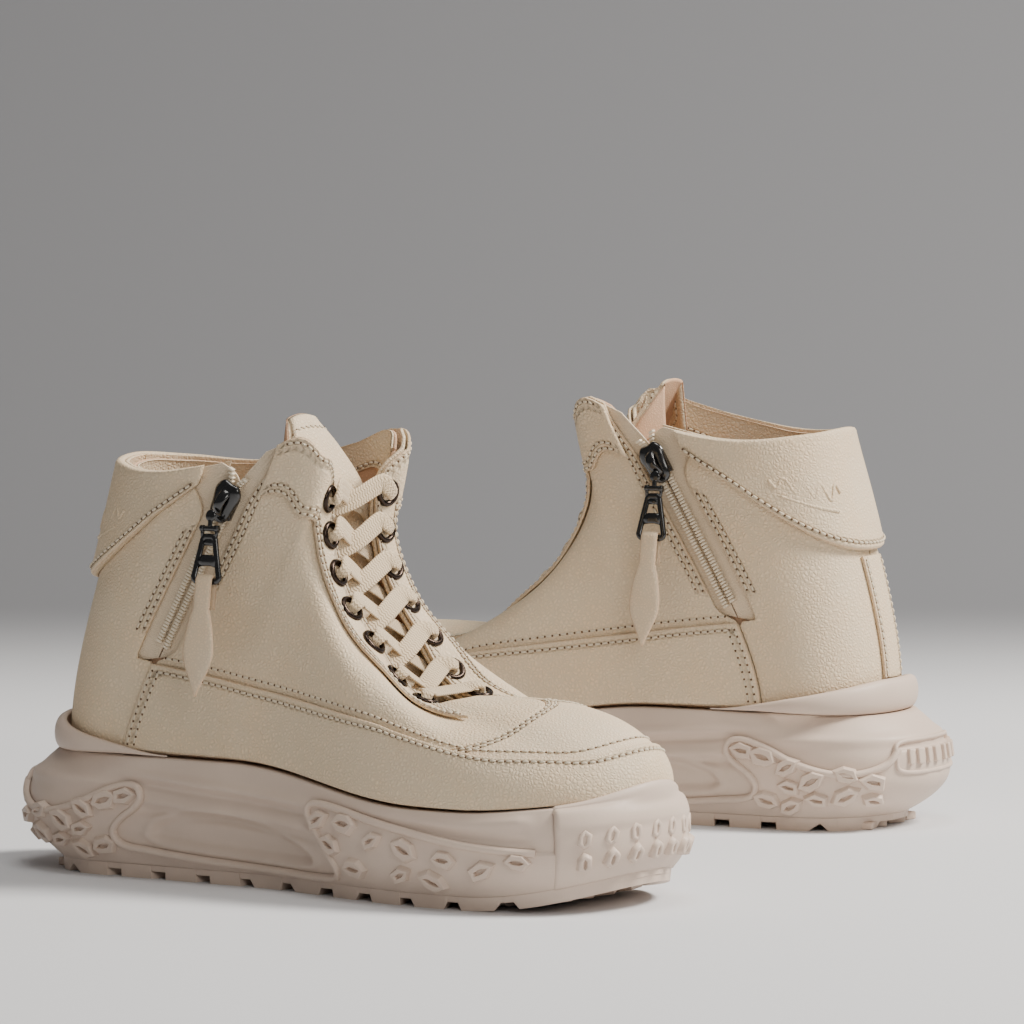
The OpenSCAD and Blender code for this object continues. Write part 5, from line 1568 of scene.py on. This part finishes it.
bw = np.linspace(-BUMPER_HALF, BUMPER_HALF, 121)
outer_rows = []
for w in bw:
    r = through(bumper_rows(w), 1.1)
    at = np.linspace(0, len(r) - 1, 46)
    outer_rows.append(np.stack([np.interp(at, np.arange(len(r)), r[:, k]) for k in range(3)], -1))
outer_b = np.array(outer_rows)
inner_b = outer_b.copy()
nb = unit(np.cross(np.gradient(outer_b, axis=0), np.gradient(outer_b, axis=1)))
centre = np.array([200.0, -3.0, 30.0])
flip_sign = np.sign(np.sum(nb * (outer_b - centre), -1, keepdims=True))
nb = nb * flip_sign
thick = np.linspace(2.6, 0.9, 46)[None, :, None]
inner_b = outer_b - nb * np.maximum(thick, 1.2)
for k, drop in ((0, 1.3), (1, 0.35), (-2, 0.35), (-1, 1.3)):
    outer_b[k] -= nb[k] * drop
verts, faces = shell(outer_b, inner_b)
bumper_parts = [(verts, faces)]
TOE_STUDS = [(s, v) for s in (0.868, 0.908, 0.948, 0.986) for v in (0.56, 0.27)]
for i, (s, v_) in enumerate(TOE_STUDS):
    for g in (-1, 1):
        bumper_parts.append(stud_solid(g * (1 - s), v_, 1.5 + 0.2 * math.sin(i * 2.0), 3.3, 6, lift=0.9))
v, f = gathered(bumper_parts)
boot_piece("toe_bumper_moulding", v, f, sole_mat, node="toe_bumper")

# Tread: an edge that carries the wall down to the floor, notched between its lugs, round a
# plate with rows of cross lugs
LUG_PITCH, LUG_GAP, NOTCH = 20.0, 6.5, 2.8
LUG_STARTS = np.arange(24.0, L - 34, LUG_PITCH)


def notch_at(x):
    return NOTCH * np.any([(x > a) & (x < a + LUG_GAP) for a in LUG_STARTS], axis=0)


edge_x = np.sort(np.concatenate([LUG_STARTS - 0.02, LUG_STARTS + 0.02, LUG_STARTS + LUG_GAP - 0.02,
    LUG_STARTS + LUG_GAP + 0.02]))
edge_s = np.unique(np.concatenate([np.linspace(0.0, 1.0, 121)[1:-1], s_of(edge_x)]))
edge_w = np.concatenate([-1 + edge_s, [0.0], (1 - edge_s)[::-1], [1.0]])
edge_out, edge_in = [], []
for step in (0.0, 0.5, 1.0):
    p = clad(edge_w, np.zeros(edge_w.shape), -0.1 - 0.7 * step)
    low = spring_z(p[:, 0]) + notch_at(p[:, 0])
    q = p.copy()
    p[:, 2] = mix(foot_z(p[:, 0]) + 0.6, low, step)
    middle_x = mix(q[:, 0], L / 2, 0.07)
    q[:, 0], q[:, 1] = middle_x, mix(q[:, 1], centre_y(middle_x), 0.32)
    q[:, 2] = p[:, 2]
    edge_out.append(p)
    edge_in.append(q)
verts, faces = shell(np.stack(edge_out, 1), np.stack(edge_in, 1), loop=True)
tread_parts = [(verts, faces)]
S, U = np.meshgrid(np.linspace(0.02, 0.98, 90), np.linspace(-0.95, 0.95, 9), indexing="ij")
near, far = wall(-(1 - S), 0.0), wall(1 - S, 0.0)
plate = mix(near, far, ((U + 1) / 2)[..., None])
plate_low, plate_top = plate.copy(), plate.copy()
plate_low[..., 2], plate_top[..., 2] = foot_z(plate[..., 0]) - 2.4, foot_z(plate[..., 0]) + 0.5
tread_parts.append(shell(plate_top, plate_low))
for x in LUG_STARTS + LUG_GAP / 2:
    for g in (-1, 1):
        for u, turn in ((0.2, 28), (0.5, 12)):
            half = float(half_width(np.array(x + 6.0), SOLE_HALF)) - 6
            slope = unit(np.array([1.0, 0, float(spring_z(x + 8) - spring_z(x + 4)) / 4]))
            c, q = math.cos(math.radians(turn)), g * math.sin(math.radians(turn))
            along, across_lug = slope * c + np.array([0, q, 0]), np.array([-q, c, 0.0])
            at = np.array([x + 8.0, float(centre_y(x)) + g * u * half, float(spring_z(x + 8)) + 1.5])
            tread_parts.append(rounded_block(at, along, across_lug, np.array([0, 0, 1.0]),
                (9.0, half * 0.24, 3.0), 0.5))
v, f = gathered(tread_parts)
boot_piece("tread_moulding", v, f, sole_mat, node="outsole", smooth_faces=False)

# Heel clip: the lip that rises round the heel
def clip_place(a, b, out):
    u = np.abs(2 * a - 1)
    w = mix(1 - 0.25, 1 + 0.25, a)
    top = mix(0.135, 0.004, smooth(0.1, 1, u) ** 0.8)
    belly = np.sqrt(np.maximum(0, 1 - (2 * b - 1) ** 2))
    o = OVER_OUT + GAP + out * mix(2.0 + 2.8 * belly, 0.3, u**2)
    return skin(w, mix(0.0, top, b), o)


A, B = np.meshgrid(np.linspace(0, 1, 141), np.linspace(0, 1, 17), indexing="ij")
verts, faces = shell(clip_place(A, B, 1.0), clip_place(A, B, 0.0))
boot_piece("heel_clip_moulding", verts, faces, sole_mat, node="heel_clip")

# Collar emboss: a plain wave with a bar under it, pressed into the folded leather
emboss = []
for base_b, amp, turns in ((0.46, 0.07, 4.0), (0.3, 0.0, 0)):
    a = np.linspace(0.66, 0.86, 160) if amp else np.linspace(0.68, 0.84, 60)
    b = base_b + amp * np.sin(np.linspace(0, turns * 2 * math.pi, len(a)))
    w, t = cuff_place(a, np.full(a.shape, 0.5))
    low = t_at(w, 106.0, 0.0, 1.0)
    u = np.clip(np.where(w > 1, (w - 1) / 0.16, (1 - w) / 0.19), 0, 1)
    edge = mix(low, 0.93, u**2.6)
    t = mix(edge, 1, b)
    p = skin(w, t, OVER_IN + 3.4)
    q = skin(w, t, OVER_IN + 4.4)
    emboss.append(bead((p, unit(q - p)), 1.3, 0.35, 0.6))
v, f = gathered(emboss)
boot_piece("collar_emboss", v, f, hide_cuff, seam=np.tile([0, 99.0, 0], (len(v), 1)))

v, f = gathered(threads)
boot_piece("thread", v, f, thread_mat, uv=np.zeros((len(v), 2)))
# the dark discs of painted shade at the needle holes
v, f = gathered(hole_shade_discs)
boot_piece("needle_holes", v, f, hole_shade_mat)

# ---- Finishes of the carried-over pieces ----
for side in SIDES:
    for node, m in (("insole_board", board_mat), ("footbed", lining_mat), ("toe_puff", stiff_mat),
        ("heel_counter", stiff_mat)):
        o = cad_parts[side + "_" + node]
        for s in o.material_slots:
            s.material = m

# ---- Floor, backdrop and light ----
def stage_part(name, verts, faces, color, back, rough=0.9, smooth_it=False):
    mesh = bpy.data.meshes.new(name)
    mesh.from_pydata(verts, [], faces)
    m = bpy.data.materials.new(name)
    m.use_nodes = True
    b = m.node_tree.nodes["Principled BSDF"]
    n = Nodes(m.node_tree)
    height = n.add("ShaderNodeSeparateXYZ", {0: n.add("ShaderNodeTexCoord").outputs["Object"]}).outputs[2]
    n.put(n.blend(n.ramp(height, 0.0, 0.045), linear(*color), linear(*back)), b.inputs["Base Color"])
    b.inputs["Roughness"].default_value = rough
    b.inputs["Specular IOR Level"].default_value = 0.2
    mesh.materials.append(m)
    mesh.polygons.foreach_set("use_smooth", [smooth_it] * len(mesh.polygons))
    o = bpy.data.objects.new(name, mesh)
    bpy.context.scene.collection.objects.link(o)


d = np.array([-0.561, 0.828])
d = d / np.linalg.norm(d)
e = np.array([d[1], -d[0]])
profile = [(-6.0, 0.0), (0.32, 0.0)]
profile += [(0.32 + 0.5 * math.sin(q), 0.5 - 0.5 * math.cos(q)) for q in np.linspace(0.08, math.pi / 2, 20)]
profile += [(0.82, 5.0)]
sweep = [(*(d * r + e * u), z) for r, z in profile for u in (-6, 6)]
stage_part("floor_sweep", sweep,
    [(2 * i, 2 * i + 1, 2 * i + 3, 2 * i + 2) for i in range(len(profile) - 1)], (214, 215, 218),
        (112, 113, 116), smooth_it=True)


def soft_light(name, at, to, size, power, color=(1, 1, 1)):
    data = bpy.data.lights.new(name, "AREA")
    data.shape = "RECTANGLE"
    data.size, data.size_y = size
    data.energy = power
    data.color = color
    o = bpy.data.objects.new(name, data)
    bpy.context.scene.collection.objects.link(o)
    o.location = at
    o.rotation_euler = (Vector(to) - Vector(at)).to_track_quat("-Z", "Y").to_euler()


def from_view(right, back, up):
    """A place given from the camera's side: right of the pair, behind it and above it."""
    return (e[0] * right + d[0] * back, e[1] * right + d[1] * back, up)


soft_light("key", from_view(1.35, -0.1, 1.5), (0, 0, 0.08), (0.6, 0.6), 74, (1.0, 0.95, 0.88))
soft_light("front", from_view(0.7, -2.2, 1.2), (0, 0, 0.08), (1.0, 1.0), 15, (1.0, 0.96, 0.9))
soft_light("top", from_view(0.1, -0.3, 2.2), (0, 0, 0), (1.0, 1.0), 16, (1.0, 0.97, 0.93))
world = bpy.data.worlds.new("studio") if bpy.context.scene.world is None else bpy.context.scene.world
bpy.context.scene.world = world
world.use_nodes = True
world.node_tree.nodes["Background"].inputs[0].default_value = (0.86, 0.85, 0.84, 1)
world.node_tree.nodes["Background"].inputs[1].default_value = 0.17
